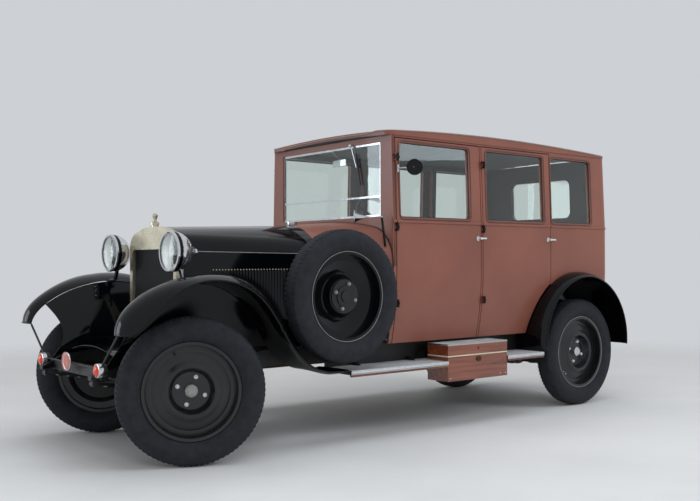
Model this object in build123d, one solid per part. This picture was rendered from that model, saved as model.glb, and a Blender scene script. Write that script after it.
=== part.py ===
"""A closed four-door motor car of the 1920s, as separate pieces on their moving bodies.

Millimetres. +X is forward, +Y is the car's left, +Z is up. The origin is on the ground,
on the centre line, straight below the front axle.
"""

import os
from math import atan2, cos, degrees, radians, sin, sqrt

from build123d import *

# Overall layout
WHEELBASE = 3195
TRACK = 1220

# Tyres, rims and hubs
TYRE_DIAMETER = 775
TYRE_WIDTH = 145
TYRE_WALL = 12
TREAD_WIDTH = 94
TREAD_CROWN = 9
FLANGE_RADIUS = 258
RIM_BASE = 246
RIM_WIDTH = 96
RIM_WALL = 4
DISC_WALL = 5
DISC_BEND = 7
NUT_CIRCLE = 75
NUT_RADIUS = 11
NUT_TURN = 19
HUB_RADIUS = 46
CAP_RADIUS = 35
DRUM_RADIUS = 165
DRUM_REACH = 38
HUB_REACH = 14
SPINDLE_RADIUS = 17
SHAFT_CLEARANCE = 0.05
AXLE_Z = TYRE_DIAMETER / 2

# Steering: the front wheels rest turned to the right, as the car was parked
REST_STEER = -24
KINGPIN_Y = 550
KINGPIN_RADIUS = 11
EYE_RADIUS = 20
EYE_HEIGHT = 60
EAR_HEIGHT = 16
ARM_REACH = 135
TRACK_ROD_Z = 326
TRACK_ROD_RADIUS = 11
STEERING_HUB = (-1600, 260, 1320)
STEERING_WHEEL_RADIUS = 205
COLUMN_RAKE = 38

# Chassis frame and springs
RAIL_HALF = 355
RAIL_TOP = 548
RAIL_DEPTH = 100
RAIL_FLANGE = 42
RAIL_WALL = 5
FRAME_FRONT = 462
FRAME_REAR = -3720
SPRING_Y = 325
SPRING_WIDTH = 44
LEAF = 8
PAD_Z = 372

# Body
WALL = 36
BODY_HALF = 645
SILL_HALF = 592
ROOF_HALF = 628
BODY_BOTTOM = 550
TURN_UNDER_TOP = 1000
WALL_TOP = 1840
BODY_FRONT = -1356
BODY_REAR = -3587
REAR_CORNER = 90
BELT_Z = 1304
BELT_HEIGHT = 16
DOOR_GAP = 6
DOOR_TOP = 1822
REAR_SPLIT = -3392
WINDOW_BOTTOM = 1332
WINDOW_TOP = 1797
WINDOW_CORNER = 22
GLASS = 6
REAR_WINDOW = (1400, 1700)
SCREEN_HALF = 526
SCREEN_BOTTOM = 1337
SCREEN_TOP = 1804
SCREEN_JOINT = 1465
HINGE_Y = 657
HINGE_HEIGHTS = (800, 1270, 1700)
KNUCKLE_RADIUS = 7
PIN_RADIUS = 3
HANDLE_Z = 1208
HANDLE_LENGTH = 50
MIRROR_RADIUS = 50
PILLARS = (-2154, -2884)
PILLAR_DEPTH = 40
ROOF_LEDGE = 560
SEAT_TOP = 1300
FLOOR_TOP = 580
FLOOR_THICK = 20
ROOF_FRONT = -1332
ROOF_HOLLOW = 16
ARCH_X = -3165
ARCH_Z = 470
ARCH_RADIUS = 508
ARCH_INNER = 500
ARCH_GAP = 9
ARCH_BEVEL = 25

# Bonnet and scuttle
BONNET_FRONT = -112
BONNET_REAR = -925
BONNET_FRONT_HALF = 262
BONNET_REAR_HALF = 358
BONNET_FRONT_TOP = 1259
BONNET_REAR_TOP = 1283
BONNET_BOTTOM = 655
FOLD_Z = 1112
SHEET = 4
FOLD_GAP = 5
CENTRE_HINGE = 6
LOUVRES = 26
LOUVRE_FRONT = -300
LOUVRE_PITCH = 19
LOUVRE_TOP = 1005
LOUVRE_BOTTOM = 715

# Radiator
RADIATOR_FRONT = -62
RADIATOR_DEPTH = 46
RADIATOR_HALF = 285
RADIATOR_TOP = 1264
RADIATOR_BOTTOM = 560
RADIATOR_OPENING_TOP = 1131
RADIATOR_BORDER = 32
FILLER_SETBACK = 19
FILLER_RADIUS = 24

# Headlamps
LAMP_X = 27
LAMP_Y = 373
LAMP_Z = 1113
LAMP_RADIUS = 111
LAMP_LENGTH = 140
INDICATOR = (443, 380, 502)

# Running boards, tool box and spare wheel
BOARD_TOP = 428
BOARD_THICK = 24
BOARD_OUTER = 756
BOARD_INNER = 566
BOX_FRONT = -1720
BOX_REAR = -2277
BOX_BOTTOM = 298
BOX_LID = 451
BOX_TOP = 533
BOX_WALL = 14
BOX_INNER = 566
BOX_OUTER = 750
BOARD_BRACKETS = (-1150, -1600, -2450)
SPARE_X = -912
SPARE_Y = 704
SPARE_Z = 857
CARRIER_FOOT = (-1020, 380, 857)
CARRIER_ARM = 22

# Fenders
FENDER_SHEET = 4
FENDER_INNER = 480
FENDER_OUTER = 756
APRON_FOOT = (410, 480)
APRON_WAIST = (300, 650)
APRON_TOP = (284, 775)
VALANCE_TOP = 599
VALANCE_FRONT = 310
LEDGE_GAP = 6


def block(x, y, z):
    """A box from its low and high limit on each axis."""
    size = [high - low for low, high in (x, y, z)]
    middle = [(high + low) / 2 for low, high in (x, y, z)]
    return Pos(*middle) * Box(*size)


def rod(start, end, radius):
    """A round bar from one point to another."""
    span = Vector(*end) - Vector(*start)
    return extrude(Plane(origin=start, z_dir=span) * Circle(radius), amount=span.length)


def outline(points, radii=None):
    """A closed flat face on the X-Y plane, its corners rounded where radii are given."""
    if radii is None:
        return make_face(Polyline(*points, close=True))
    return make_face(FilletPolyline(*points, radius=radii, close=True))


def ribbon(points, thickness, corner=None):
    """A thin flat face: an open line of points, thickened to the right of its run."""
    line = Polyline(*points) if corner is None else FilletPolyline(*points, radius=corner)
    return make_face(offset(line, amount=thickness, side=Side.RIGHT))


def arc_band(centre, inner, outer, start, end):
    """A flat ring segment between two angles in degrees."""

    def at(radius, angle):
        turn = radians(angle)
        return (centre[0] + radius * cos(turn), centre[1] + radius * sin(turn))

    middle = (start + end) / 2
    return make_face(
        Curve()
        + [
            ThreePointArc(at(inner, start), at(inner, middle), at(inner, end)),
            Line(at(inner, end), at(outer, end)),
            ThreePointArc(at(outer, end), at(outer, middle), at(outer, start)),
            Line(at(outer, start), at(inner, start)),
        ]
    )


def across(face, y_low, y_high):
    """Stand a face drawn as (x, z) upright and thicken it between two values of Y."""
    return extrude(Plane.XZ.offset(-y_low) * face, amount=y_high - y_low, dir=(0, 1, 0))


def along(face, x_low, x_high):
    """Stand a face drawn as (y, z) upright and thicken it between two values of X."""
    return extrude(Plane.YZ.offset(x_low) * face, amount=x_high - x_low)


def upward(face, z_low, z_high):
    """Thicken a face drawn as (x, y) between two heights."""
    return extrude(Plane.XY.offset(z_low) * face, amount=z_high - z_low)


def dome(base, radius, height):
    """Profile of a shallow spherical cap on the Y axis, drawn as (radius, y) from its rim."""
    sphere = (radius * radius + height * height) / (2 * height)
    middle = radius / 2
    sag = sphere - sqrt(sphere * sphere - middle * middle)
    return ThreePointArc((radius, base), (middle, base + height - sag), (0, base + height))


def turned(face):
    """Revolve a face drawn as (radius, y) about the Y axis."""
    return revolve(face, Axis.Y)


def mirrored(shape):
    """The same piece on the other side of the car."""
    return mirror(shape, Plane.XZ)


def both(shape):
    """A left piece and its mirror image, in one node."""
    return Compound(children=[shape, mirrored(shape)])


# Wheels, drawn about the Y axis with the outer face towards +Y


def tyre():
    """A hollow straight-sided tyre."""
    outer = TYRE_DIAMETER / 2
    middle = outer - TYRE_WIDTH / 2
    bead = RIM_WIDTH / 2 - RIM_WALL - 0.2
    lip = FLANGE_RADIUS + 8
    shoulder = outer - TREAD_CROWN
    ply = outer - 26
    face = make_face(
        Curve()
        + [
            Line((RIM_BASE + 0.2, bead), (FLANGE_RADIUS + 0.4, bead)),
            Line((FLANGE_RADIUS + 0.4, bead), (lip, bead + 6)),
            ThreePointArc((lip, bead + 6), (middle, TYRE_WIDTH / 2), (shoulder, TREAD_WIDTH / 2)),
            ThreePointArc((shoulder, TREAD_WIDTH / 2), (outer, 0), (shoulder, -TREAD_WIDTH / 2)),
            ThreePointArc((shoulder, -TREAD_WIDTH / 2), (middle, -TYRE_WIDTH / 2), (lip, -bead - 6)),
            Line((lip, -bead - 6), (FLANGE_RADIUS + 0.4, -bead)),
            Line((FLANGE_RADIUS + 0.4, -bead), (RIM_BASE + 0.2, -bead)),
            Line((RIM_BASE + 0.2, -bead), (RIM_BASE + 0.2, TYRE_WALL - bead)),
            Line((RIM_BASE + 0.2, TYRE_WALL - bead), (lip, TYRE_WALL - bead)),
            ThreePointArc(
                (lip, TYRE_WALL - bead),
                (middle, TYRE_WALL - TYRE_WIDTH / 2),
                (ply, TYRE_WALL - TREAD_WIDTH / 2),
            ),
            Line((ply, TYRE_WALL - TREAD_WIDTH / 2), (ply, TREAD_WIDTH / 2 - TYRE_WALL)),
            ThreePointArc(
                (ply, TREAD_WIDTH / 2 - TYRE_WALL),
                (middle, TYRE_WIDTH / 2 - TYRE_WALL),
                (lip, bead - TYRE_WALL),
            ),
            Line((lip, bead - TYRE_WALL), (RIM_BASE + 0.2, bead - TYRE_WALL)),
            Line((RIM_BASE + 0.2, bead - TYRE_WALL), (RIM_BASE + 0.2, bead)),
        ]
    )
    return turned(face)


# The dished disc from the hub out to the rim: radius and how far its face stands outwards
DISC_PROFILE = (
    (HUB_RADIUS - 6, -6),
    (99, -6),
    (110, 18),
    (118, 38),
    (128, 46),
    (140, 42),
    (162, 29),
    (205, 12),
    (RIM_BASE - RIM_WALL, 8),
)


def disc_and_rim():
    """The pressed steel disc with its straight-sided rim."""
    half = RIM_WIDTH / 2
    disc = ribbon(DISC_PROFILE, DISC_WALL, DISC_BEND)
    rim = outline(
        (
            (RIM_BASE - RIM_WALL - 1, -half),
            (FLANGE_RADIUS, -half),
            (FLANGE_RADIUS, RIM_WALL - half),
            (RIM_BASE, RIM_WALL - half),
            (RIM_BASE, half - RIM_WALL),
            (FLANGE_RADIUS, half - RIM_WALL),
            (FLANGE_RADIUS, half),
            (RIM_BASE - RIM_WALL - 1, half),
        )
    )
    return turned(disc) + turned(rim)


def nuts(face):
    """Four domed nuts that stand on the wheel's face at this place along its axis."""
    ring = []
    for index in range(4):
        turn = radians(NUT_TURN + 90 * index)
        x, z = -NUT_CIRCLE * sin(turn), NUT_CIRCLE * cos(turn)
        ring.append(rod((x, face - 1, z), (x, face + 10, z), NUT_RADIUS))
        ring.append(Pos(x, face + 10, z) * Sphere(NUT_RADIUS - 2))
    return ring


def road_wheel():
    """Disc wheel, brake drum and hub, bored for its spindle."""
    drum = ribbon(
        ((HUB_RADIUS, -11), (DRUM_RADIUS, -11), (DRUM_RADIUS, -DRUM_REACH)),
        RIM_WALL,
    )
    hub = outline(((0, -HUB_REACH), (HUB_RADIUS, -HUB_REACH), (HUB_RADIUS, -6), (0, -6)))
    cap = make_face(
        Curve()
        + [
            Line((0, -7), (CAP_RADIUS, -7)),
            Line((CAP_RADIUS, -7), (CAP_RADIUS - 2, 20)),
            dome(20, CAP_RADIUS - 2, 12),
            Line((0, 32), (0, -7)),
        ]
    )
    bore = outline(
        (
            (0, -HUB_REACH - 1),
            (SPINDLE_RADIUS + SHAFT_CLEARANCE, -HUB_REACH - 1),
            (SPINDLE_RADIUS + SHAFT_CLEARANCE, 12),
            (0, 12),
        )
    )
    wheel = disc_and_rim() + turned(drum) + turned(hub) + turned(cap) - turned(bore)
    return wheel + nuts(DISC_PROFILE[0][1])


def knuckle():
    """Left steering knuckle in the straight-ahead pose, its kingpin on the Z axis."""
    reach = TRACK / 2 - KINGPIN_Y
    plate_y = reach - DRUM_REACH - 8
    ear_low = EYE_HEIGHT / 2 + 0.5
    ear_high = ear_low + EAR_HEIGHT
    yoke_y = EYE_RADIUS + 6
    plate_hole = 72
    yoke = block((-16, 16), (yoke_y, yoke_y + 14), (-plate_hole - 14, plate_hole + 14))
    parts = [yoke]
    for low, high in ((-ear_high, -ear_low), (ear_low, ear_high)):
        ear = Pos(0, 0, (low + high) / 2) * Cylinder(EYE_RADIUS, EAR_HEIGHT)
        parts += [ear, block((-14, 14), (0, yoke_y + 2), (low, high))]
    for low, high in ((-plate_hole - 14, -plate_hole - 2), (plate_hole + 2, plate_hole + 14)):
        parts.append(block((-16, 16), (plate_y - 3, yoke_y + 1), (low, high)))
    parts.append(Cylinder(KINGPIN_RADIUS, 2 * ear_high))
    parts.append(rod((0, yoke_y, 0), (0, reach + 10, 0), SPINDLE_RADIUS))
    plate = rod((0, plate_y - 3, 0), (0, plate_y, 0), DRUM_RADIUS + 4)
    # The brake plate has a hole in its middle, so that it swings clear of the axle's eye
    plate -= rod((0, plate_y - 4, 0), (0, plate_y + 1, 0), plate_hole)
    plate -= rod((-ARM_REACH, 0, -100), (-ARM_REACH, 0, -ear_low), 24)
    parts.append(plate)
    parts.append(block((-ARM_REACH, 0), (-9, 9), (-ear_high, -ear_low)))
    body = parts[0]
    for piece in parts[1:]:
        body += piece
    boss = Pos(-ARM_REACH, 0, -(ear_low + ear_high) / 2) * Cylinder(15, EAR_HEIGHT)
    pin_low = TRACK_ROD_Z - 15 - AXLE_Z
    pin = rod((-ARM_REACH, 0, pin_low), (-ARM_REACH, 0, -ear_low), 7)
    return body + boss + pin


def steered(shape, side):
    """Turn a piece from straight ahead to its rest angle, on the left or right kingpin."""
    return Pos(0, side * KINGPIN_Y, AXLE_Z) * Rot(0, 0, REST_STEER) * shape


def front_end():
    """The steered pieces of both front wheels, with the rod that couples them."""
    offset_y = TRACK / 2 - KINGPIN_Y
    left_wheel = Pos(0, offset_y, 0) * road_wheel()
    left_tyre = Pos(0, offset_y, 0) * tyre()
    pieces = {}
    for name, shape in (("knuckle", knuckle()), ("wheel_front", left_wheel), ("tyre_front", left_tyre)):
        pieces[f"{name}_left"] = steered(shape, 1)
        pieces[f"{name}_right"] = steered(mirrored(shape), -1)
    turn = radians(REST_STEER)
    end_x = -ARM_REACH * cos(turn)
    shift = -ARM_REACH * sin(turn)
    ends = [(end_x, side * KINGPIN_Y + shift, TRACK_ROD_Z) for side in (-1, 1)]
    bar = rod(*ends, TRACK_ROD_RADIUS)
    for end in ends:
        bar += Pos(*end) * Cylinder(16, 26)
    for end in ends:
        bar -= Pos(*end) * Cylinder(7 + SHAFT_CLEARANCE, 60)
    pieces["track_rod"] = bar
    return pieces


def rear_wheels():
    """The two driven wheels with their tyres."""
    pieces = {}
    for side, name in ((1, "left"), (-1, "right")):
        for label, shape in (("wheel", road_wheel()), ("tyre", tyre())):
            placed = Pos(-WHEELBASE, TRACK / 2, AXLE_Z) * shape
            pieces[f"{label}_rear_{name}"] = placed if side > 0 else mirrored(placed)
    return pieces


def spare():
    """The spare wheel, its dished inner side showing, on a carrier at the left fender."""
    carrier_y = SPARE_Y - 62
    place = Pos(SPARE_X, SPARE_Y, SPARE_Z)
    flip = Rot(0, 0, 180)
    wheel = place * flip * (disc_and_rim())
    ring = rod((SPARE_X, SPARE_Y + 11, SPARE_Z), (SPARE_X, SPARE_Y + 18, SPARE_Z), 96)
    ring -= rod((SPARE_X, SPARE_Y, SPARE_Z), (SPARE_X, SPARE_Y + 20, SPARE_Z), 52)
    post = rod((SPARE_X, carrier_y, SPARE_Z), (SPARE_X, SPARE_Y + 30, SPARE_Z), 32)
    plate = rod((SPARE_X, SPARE_Y + 18, SPARE_Z), (SPARE_X, SPARE_Y + 24, SPARE_Z), 60)
    arm = rod((SPARE_X, carrier_y + 8, SPARE_Z), CARRIER_FOOT, CARRIER_ARM)
    arm -= scuttle_form()[0]
    carrier = ring + post + plate + arm + [place * nut for nut in nuts(18)]
    return {"spare_wheel": wheel, "spare_tyre": place * tyre(), "spare_carrier": carrier}


# Chassis


def leaf_spring(front, rear, sag, leaves, shorten):
    """A stack of curved leaves in one upright plane, the longest on top."""
    (x_front, z_front), (x_rear, z_rear) = front, rear
    chord = sqrt((x_front - x_rear) ** 2 + (z_front - z_rear) ** 2)
    radius = (chord * chord / 4 + sag * sag) / (2 * sag)
    tilt = degrees(atan2(z_front - z_rear, x_front - x_rear))
    turn = radians(tilt)
    lift = radius - sag
    centre = (
        (x_front + x_rear) / 2 - lift * sin(turn),
        (z_front + z_rear) / 2 + lift * cos(turn),
    )
    half = degrees(chord / 2 / radius)
    stack = None
    for index in range(leaves):
        spread = half * (1 - shorten * index)
        inner = radius + index * LEAF
        face = arc_band(centre, inner, inner + LEAF, 270 + tilt - spread, 270 + tilt + spread)
        leaf = across(face, SPRING_Y - SPRING_WIDTH / 2, SPRING_Y + SPRING_WIDTH / 2)
        stack = leaf if stack is None else stack + leaf
    for x, z in (front, rear):
        stack += rod((x, SPRING_Y - SPRING_WIDTH / 2, z), (x, SPRING_Y + SPRING_WIDTH / 2, z), 15)
    return stack


def rail_side():
    """Side view of a side member, as (x, z)."""
    bottom = RAIL_TOP - RAIL_DEPTH
    return outline(
        (
            (FRAME_FRONT, 446),
            (FRAME_FRONT, 470),
            (330, 530),
            (150, RAIL_TOP),
            (FRAME_REAR, RAIL_TOP),
            (FRAME_REAR, RAIL_TOP - 50),
            (-2600, bottom),
            (60, bottom),
            (300, 466),
        ),
        (8, 10, 200, 300, 10, 20, 200, 200, 120),
    )


def filled_rail():
    """The space of the left side member without its hollow."""
    return across(rail_side(), RAIL_HALF - RAIL_FLANGE, RAIL_HALF)


def rail():
    """Left side member: a channel, curved down to its dumb iron and over the rear axle."""
    side = rail_side()
    inner = offset(side, amount=-RAIL_WALL)
    low = RAIL_HALF - RAIL_FLANGE
    return across(side, low, RAIL_HALF) - across(inner, low - 1, RAIL_HALF - RAIL_WALL)


# Members between the rails: middle x, length along x, height, depth
CROSSMEMBERS = (
    (370, 50, 500, 50),
    (-60, 70, 548, 90),
    (-1500, 70, 548, 22),
    (-2250, 70, 548, 22),
    (-2860, 70, 548, 30),
    (-3680, 50, 540, 40),
)


def chassis_frame():
    """Both side members with the channels that join them."""
    frame = rail() + mirrored(rail())
    reach = RAIL_HALF - RAIL_WALL - 0.5
    for x, length, top, depth in CROSSMEMBERS:
        section = outline(
            (
                (x - length / 2, top),
                (x + length / 2, top),
                (x + length / 2, top - depth),
                (x + length / 2 - RAIL_WALL, top - depth),
                (x + length / 2 - RAIL_WALL, top - RAIL_WALL),
                (x - length / 2 + RAIL_WALL, top - RAIL_WALL),
                (x - length / 2 + RAIL_WALL, top - depth),
                (x - length / 2, top - depth),
            )
        )
        frame += across(section, -reach - 1, reach + 1)
    return frame


def front_axle():
    """An I-section beam, dropped between its kingpin eyes, with pads for the springs."""
    line = FilletPolyline(
        (-KINGPIN_Y, AXLE_Z), (-430, 352), (430, 352), (KINGPIN_Y, AXLE_Z), radius=120
    )
    web = make_face(offset(line, amount=20))
    beam = along(web, -4, 4)
    edge = make_face(offset(line, amount=20)) - make_face(offset(line, amount=14))
    beam += along(edge, -22, 22)
    end = KINGPIN_Y - EYE_RADIUS - 8
    beam &= block((-60, 60), (-end, end), (200, 500))
    pads = [block((-55, 55), sorted((s * (SPRING_Y - 26), s * (SPRING_Y + 26))), (PAD_Z - 6, PAD_Z)) for s in (-1, 1)]
    for pad in pads:
        beam += pad
    for side in (-1, 1):
        eye = Pos(0, side * KINGPIN_Y, AXLE_Z) * Cylinder(EYE_RADIUS, EYE_HEIGHT)
        beam += eye
        beam += block(
            (-12, 12),
            sorted((side * (KINGPIN_Y - EYE_RADIUS - 10), side * (KINGPIN_Y - 10))),
            (AXLE_Z - 28, AXLE_Z + 12),
        )
        beam -= Pos(0, side * KINGPIN_Y, AXLE_Z) * Cylinder(
            KINGPIN_RADIUS + SHAFT_CLEARANCE, EYE_HEIGHT + 80
        )
    return beam


# Springs: front eye, rear eye, height of the main leaf over its axle, leaves, hanger tops
SPRINGS = (
    ((436, 430), (-430, 430), PAD_Z + 5 * LEAF, 5, (455, 450)),
    ((-2640, 424), (-3690, 440), AXLE_Z - 54, 6, (453, 502)),
)


def rear_axle():
    """Casing, tapered tubes, brake plates and the half shafts' ends in the hubs."""
    inner = TRACK / 2 - DRUM_REACH - 10
    casing = rod((-WHEELBASE, -70, AXLE_Z), (-WHEELBASE, 70, AXLE_Z), 135)
    cover = Pos(-WHEELBASE, 0, AXLE_Z) * Sphere(140)
    axle = casing + (cover & block((-WHEELBASE - 150, -WHEELBASE + 150), (-90, 90), (200, 560)))
    for side in (-1, 1):
        tube = Plane(origin=(-WHEELBASE, side * 60, AXLE_Z), z_dir=(0, side, 0))
        axle += loft([tube * Circle(62), tube.offset(inner - 60) * Circle(40)])
        axle += rod(
            (-WHEELBASE, side * (inner - 4), AXLE_Z),
            (-WHEELBASE, side * inner, AXLE_Z),
            DRUM_RADIUS + 4,
        )
        axle += block(
            (-WHEELBASE - 45, -WHEELBASE + 45),
            sorted((side * (SPRING_Y - 28), side * (SPRING_Y + 28))),
            (AXLE_Z - 57, AXLE_Z - 30),
        )
        axle += rod(
            (-WHEELBASE, side * (inner - 1), AXLE_Z),
            (-WHEELBASE, side * (TRACK / 2 - HUB_REACH - 5), AXLE_Z),
            HUB_RADIUS - 4,
        )
        axle += rod(
            (-WHEELBASE, side * (inner - 6), AXLE_Z),
            (-WHEELBASE, side * (TRACK / 2 + 10), AXLE_Z),
            SPINDLE_RADIUS,
        )
    front_eye, rear_eye, middle_z, _, _ = SPRINGS[1]
    main_leaf = leaf_spring(front_eye, rear_eye, (front_eye[1] + rear_eye[1]) / 2 - middle_z, 1, 0)
    return axle - main_leaf - mirrored(main_leaf)


def leaf_springs():
    """The four springs, each standing on its axle's pad."""
    hung = []
    for front_eye, rear_eye, middle_z, leaves, hanger_tops in SPRINGS:
        sag = (front_eye[1] + rear_eye[1]) / 2 - middle_z
        spring = leaf_spring(front_eye, rear_eye, sag, leaves, 0.15)
        for (x, z), top in zip((front_eye, rear_eye), hanger_tops):
            spring += block((x - 9, x + 9), (SPRING_Y - 11, SPRING_Y + 17), (z, top))
        spring -= filled_rail()
        hung += [spring, mirrored(spring)]
    return Compound(children=hung)


def engine():
    """A plain block where the engine stands, with its gearbox and the shaft's tube."""
    block_part = block((-820, -200), (-150, 150), (470, 1010))
    head = block((-790, -230), (-120, 120), (1009, 1060))
    sump = block((-780, -240), (-120, 120), (400, 471))
    gearbox = loft(
        [
            Plane(origin=(-820, 0, 540), z_dir=(-1, 0, 0)) * RectangleRounded(260, 260, 40),
            Plane(origin=(-1240, 0, 500), z_dir=(-1, 0, 0)) * RectangleRounded(150, 160, 30),
        ]
    )
    feet = block((-760, -700), (-RAIL_HALF + RAIL_FLANGE, RAIL_HALF - RAIL_FLANGE), (500, 530))
    shaft = rod((-1239, 0, 500), (-WHEELBASE + 125, 0, 402), 34) - Pos(-WHEELBASE, 0, AXLE_Z) * Sphere(141)
    return block_part + head + sump + gearbox + feet + shaft


def exhaust():
    """Pipe and silencer along the right of the chassis."""
    path = FilletPolyline(
        (-420, -150, 700),
        (-420, -235, 700),
        (-420, -235, 375),
        (-2600, -235, 375),
        (-3000, -235, 300),
        (-3660, -235, 300),
        radius=40,
    )
    pipe = sweep(Plane(origin=(-420, -150, 700), z_dir=(0, -1, 0)) * Circle(24), path)
    pipe += rod((-1700, -235, 375), (-2150, -235, 375), 58)
    for x in (-1532, -2282):
        pipe += block((x - 3, x + 3), (-245, -225), (390, 526))
    return pipe


# Hood sections: radiator, bonnet and scuttle


def hood_face(low, straight, shoulder, roll, top, waist=None, inset=0):
    """An arched section drawn as (y, z), closed at its foot, and set in by a wall if asked."""
    low = (low[0] - inset, low[1] - (50 if inset else 0))
    straight = (straight[0] - inset, straight[1])
    shoulder = (shoulder[0] - 0.8 * inset, shoulder[1] - 0.6 * inset)
    roll = (roll[0] - 0.5 * inset, roll[1] - 0.87 * inset)
    top = (0, top[1] - inset)

    def other(point):
        return (-point[0], point[1])

    if waist is None:
        left = Line(low, straight)
        right = Line(other(straight), other(low))
    else:
        waist = (waist[0] - inset, waist[1])
        left = ThreePointArc(low, waist, straight)
        right = ThreePointArc(other(straight), other(waist), other(low))
    return make_face(
        Curve()
        + [
            left,
            ThreePointArc(straight, shoulder, roll),
            ThreePointArc(roll, top, other(roll)),
            ThreePointArc(other(roll), other(shoulder), other(straight)),
            right,
            Line(other(low), low),
        ]
    )


RADIATOR_SECTION = ((285, 560), (285, 1125), (268, 1190), (215, 1226), (0, 1264))
BONNET_FRONT_SECTION = ((262, 655), (262, 1120), (246, 1178), (200, 1218), (0, 1258))
BONNET_REAR_SECTION = ((354, 655), (358, 1107), (332, 1165), (270, 1208), (0, 1283))
SCUTTLE_FRONT = ((350, 560), (358, 1107), (332, 1165), (270, 1208), (0, 1283), (357, 830))
SCUTTLE_REAR = ((592, 550), (645, 1000), (616, 1165), (500, 1267), (0, 1318), (628, 750))


def radiator():
    """The plated shell with its filler, and the finned core inside it."""
    rear = RADIATOR_FRONT - RADIATOR_DEPTH
    shell = along(hood_face(*RADIATOR_SECTION), rear, RADIATOR_FRONT)
    side = RADIATOR_HALF - RADIATOR_BORDER
    opening = outline(
        (
            (-side, RADIATOR_BOTTOM + 45),
            (side, RADIATOR_BOTTOM + 45),
            (side, RADIATOR_OPENING_TOP),
            (-side, RADIATOR_OPENING_TOP),
        ),
        30,
    )
    shell -= along(opening, rear - 1, RADIATOR_FRONT + 1)
    rim = FILLER_RADIUS
    cap = make_face(
        Curve()
        + [
            Line((0, RADIATOR_TOP - 6), (rim - 4, RADIATOR_TOP - 6)),
            Line((rim - 4, RADIATOR_TOP - 6), (rim - 4, RADIATOR_TOP + 8)),
            Line((rim - 4, RADIATOR_TOP + 8), (rim, RADIATOR_TOP + 8)),
            Line((rim, RADIATOR_TOP + 8), (rim, RADIATOR_TOP + 22)),
            Line((rim, RADIATOR_TOP + 22), (12, RADIATOR_TOP + 30)),
            Line((12, RADIATOR_TOP + 30), (9, RADIATOR_TOP + 40)),
            Line((9, RADIATOR_TOP + 40), (17, RADIATOR_TOP + 62)),
            dome(RADIATOR_TOP + 62, 17, 15),
            Line((0, RADIATOR_TOP + 77), (0, RADIATOR_TOP - 6)),
        ]
    )
    shell += Pos(RADIATOR_FRONT - FILLER_SETBACK, 0, 0) * revolve(Plane.XZ * cap, Axis.Z)
    pitch = 11
    count = int(2 * side / pitch) - 1
    points = [(rear + 2, -side + 1), (rear + 2, side - 1), (rear + 20, side - 1)]
    for index in range(count):
        y = side - 6 - index * pitch
        points += [(rear + 20, y), (rear + 32, y), (rear + 32, y - 4), (rear + 20, y - 4)]
    points.append((rear + 20, -side + 1))
    comb = upward(outline(points), RADIATOR_BOTTOM + 46, RADIATOR_OPENING_TOP - 1)
    core = comb & along(opening, rear, RADIATOR_FRONT)
    return shell, core


def bonnet():
    """Two top panels that meet at the centre hinge, and a louvred panel below each."""
    planes = (Plane.YZ.offset(BONNET_FRONT), Plane.YZ.offset(BONNET_REAR))
    sections = (BONNET_FRONT_SECTION, BONNET_REAR_SECTION)
    outer = loft([plane * hood_face(*section) for plane, section in zip(planes, sections)])
    inner = loft([plane * hood_face(*section, inset=SHEET) for plane, section in zip(planes, sections)])
    shell = outer - inner
    front_fold, rear_fold = (section[1][1] for section in sections)
    above = outline(
        (
            (BONNET_FRONT, front_fold),
            (BONNET_REAR, rear_fold),
            (BONNET_REAR, 1400),
            (BONNET_FRONT, 1400),
        )
    )
    below = outline(
        (
            (BONNET_FRONT, front_fold - FOLD_GAP),
            (BONNET_REAR, rear_fold - FOLD_GAP),
            (BONNET_REAR, 500),
            (BONNET_FRONT, 500),
        )
    )
    top = shell & across(above, CENTRE_HINGE + 2, 500)
    side = shell & across(below, CENTRE_HINGE + 2, 500)
    slope = degrees(atan2(BONNET_REAR_HALF - BONNET_FRONT_HALF, BONNET_FRONT - BONNET_REAR))
    for index in range(LOUVRES):
        x = LOUVRE_FRONT - index * LOUVRE_PITCH
        share = (BONNET_FRONT - x) / (BONNET_FRONT - BONNET_REAR)
        y = BONNET_FRONT_HALF + share * (BONNET_REAR_HALF - BONNET_FRONT_HALF) - SHEET / 2
        height = LOUVRE_TOP - LOUVRE_BOTTOM
        middle = (LOUVRE_TOP + LOUVRE_BOTTOM) / 2
        blade = Pos(x, y + 2, middle) * Rot(0, 0, -slope - 28) * Box(16, 2.5, height)
        side += blade
    hinge = rod(
        (BONNET_FRONT + 2, 0, BONNET_FRONT_TOP - 3), (BONNET_REAR + 2, 0, BONNET_REAR_TOP - 3), CENTRE_HINGE
    )
    return top, side, hinge


def scuttle_form():
    """The scuttle as a filled shape, and the space inside its sheet."""
    planes = (Plane.YZ.offset(BONNET_REAR - 8), Plane.YZ.offset(BODY_FRONT))
    sections = (SCUTTLE_FRONT, SCUTTLE_REAR)
    outer = loft([plane * hood_face(*section) for plane, section in zip(planes, sections)])
    inner = loft([plane * hood_face(*section, inset=SHEET) for plane, section in zip(planes, sections)])
    return outer, inner


def scuttle():
    """The sheet between bonnet and doors, with the bulkhead and the sloping toe board."""
    outer, inner = scuttle_form()
    shell = outer - inner
    bulkhead = inner & block((BONNET_REAR - 30, BONNET_REAR - 18), (-700, 700), (552, 1400))
    bulkhead -= block((BONNET_REAR - 31, BONNET_REAR - 17), (-150, 150), (500, 700))
    toe = outline(
        (
            (BODY_FRONT, FLOOR_TOP - FLOOR_THICK),
            (BODY_FRONT, FLOOR_TOP),
            (BONNET_REAR - 30, 800),
            (BONNET_REAR - 30, 800 - FLOOR_THICK),
        )
    )
    board = inner & across(toe, -640, 640)
    cap = Pos(-1056, 0, 1285) * Cylinder(34, 60)
    hole = column_bar(26, -300, 900)
    return shell + bulkhead + board - hole + (cap - inner)


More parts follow.
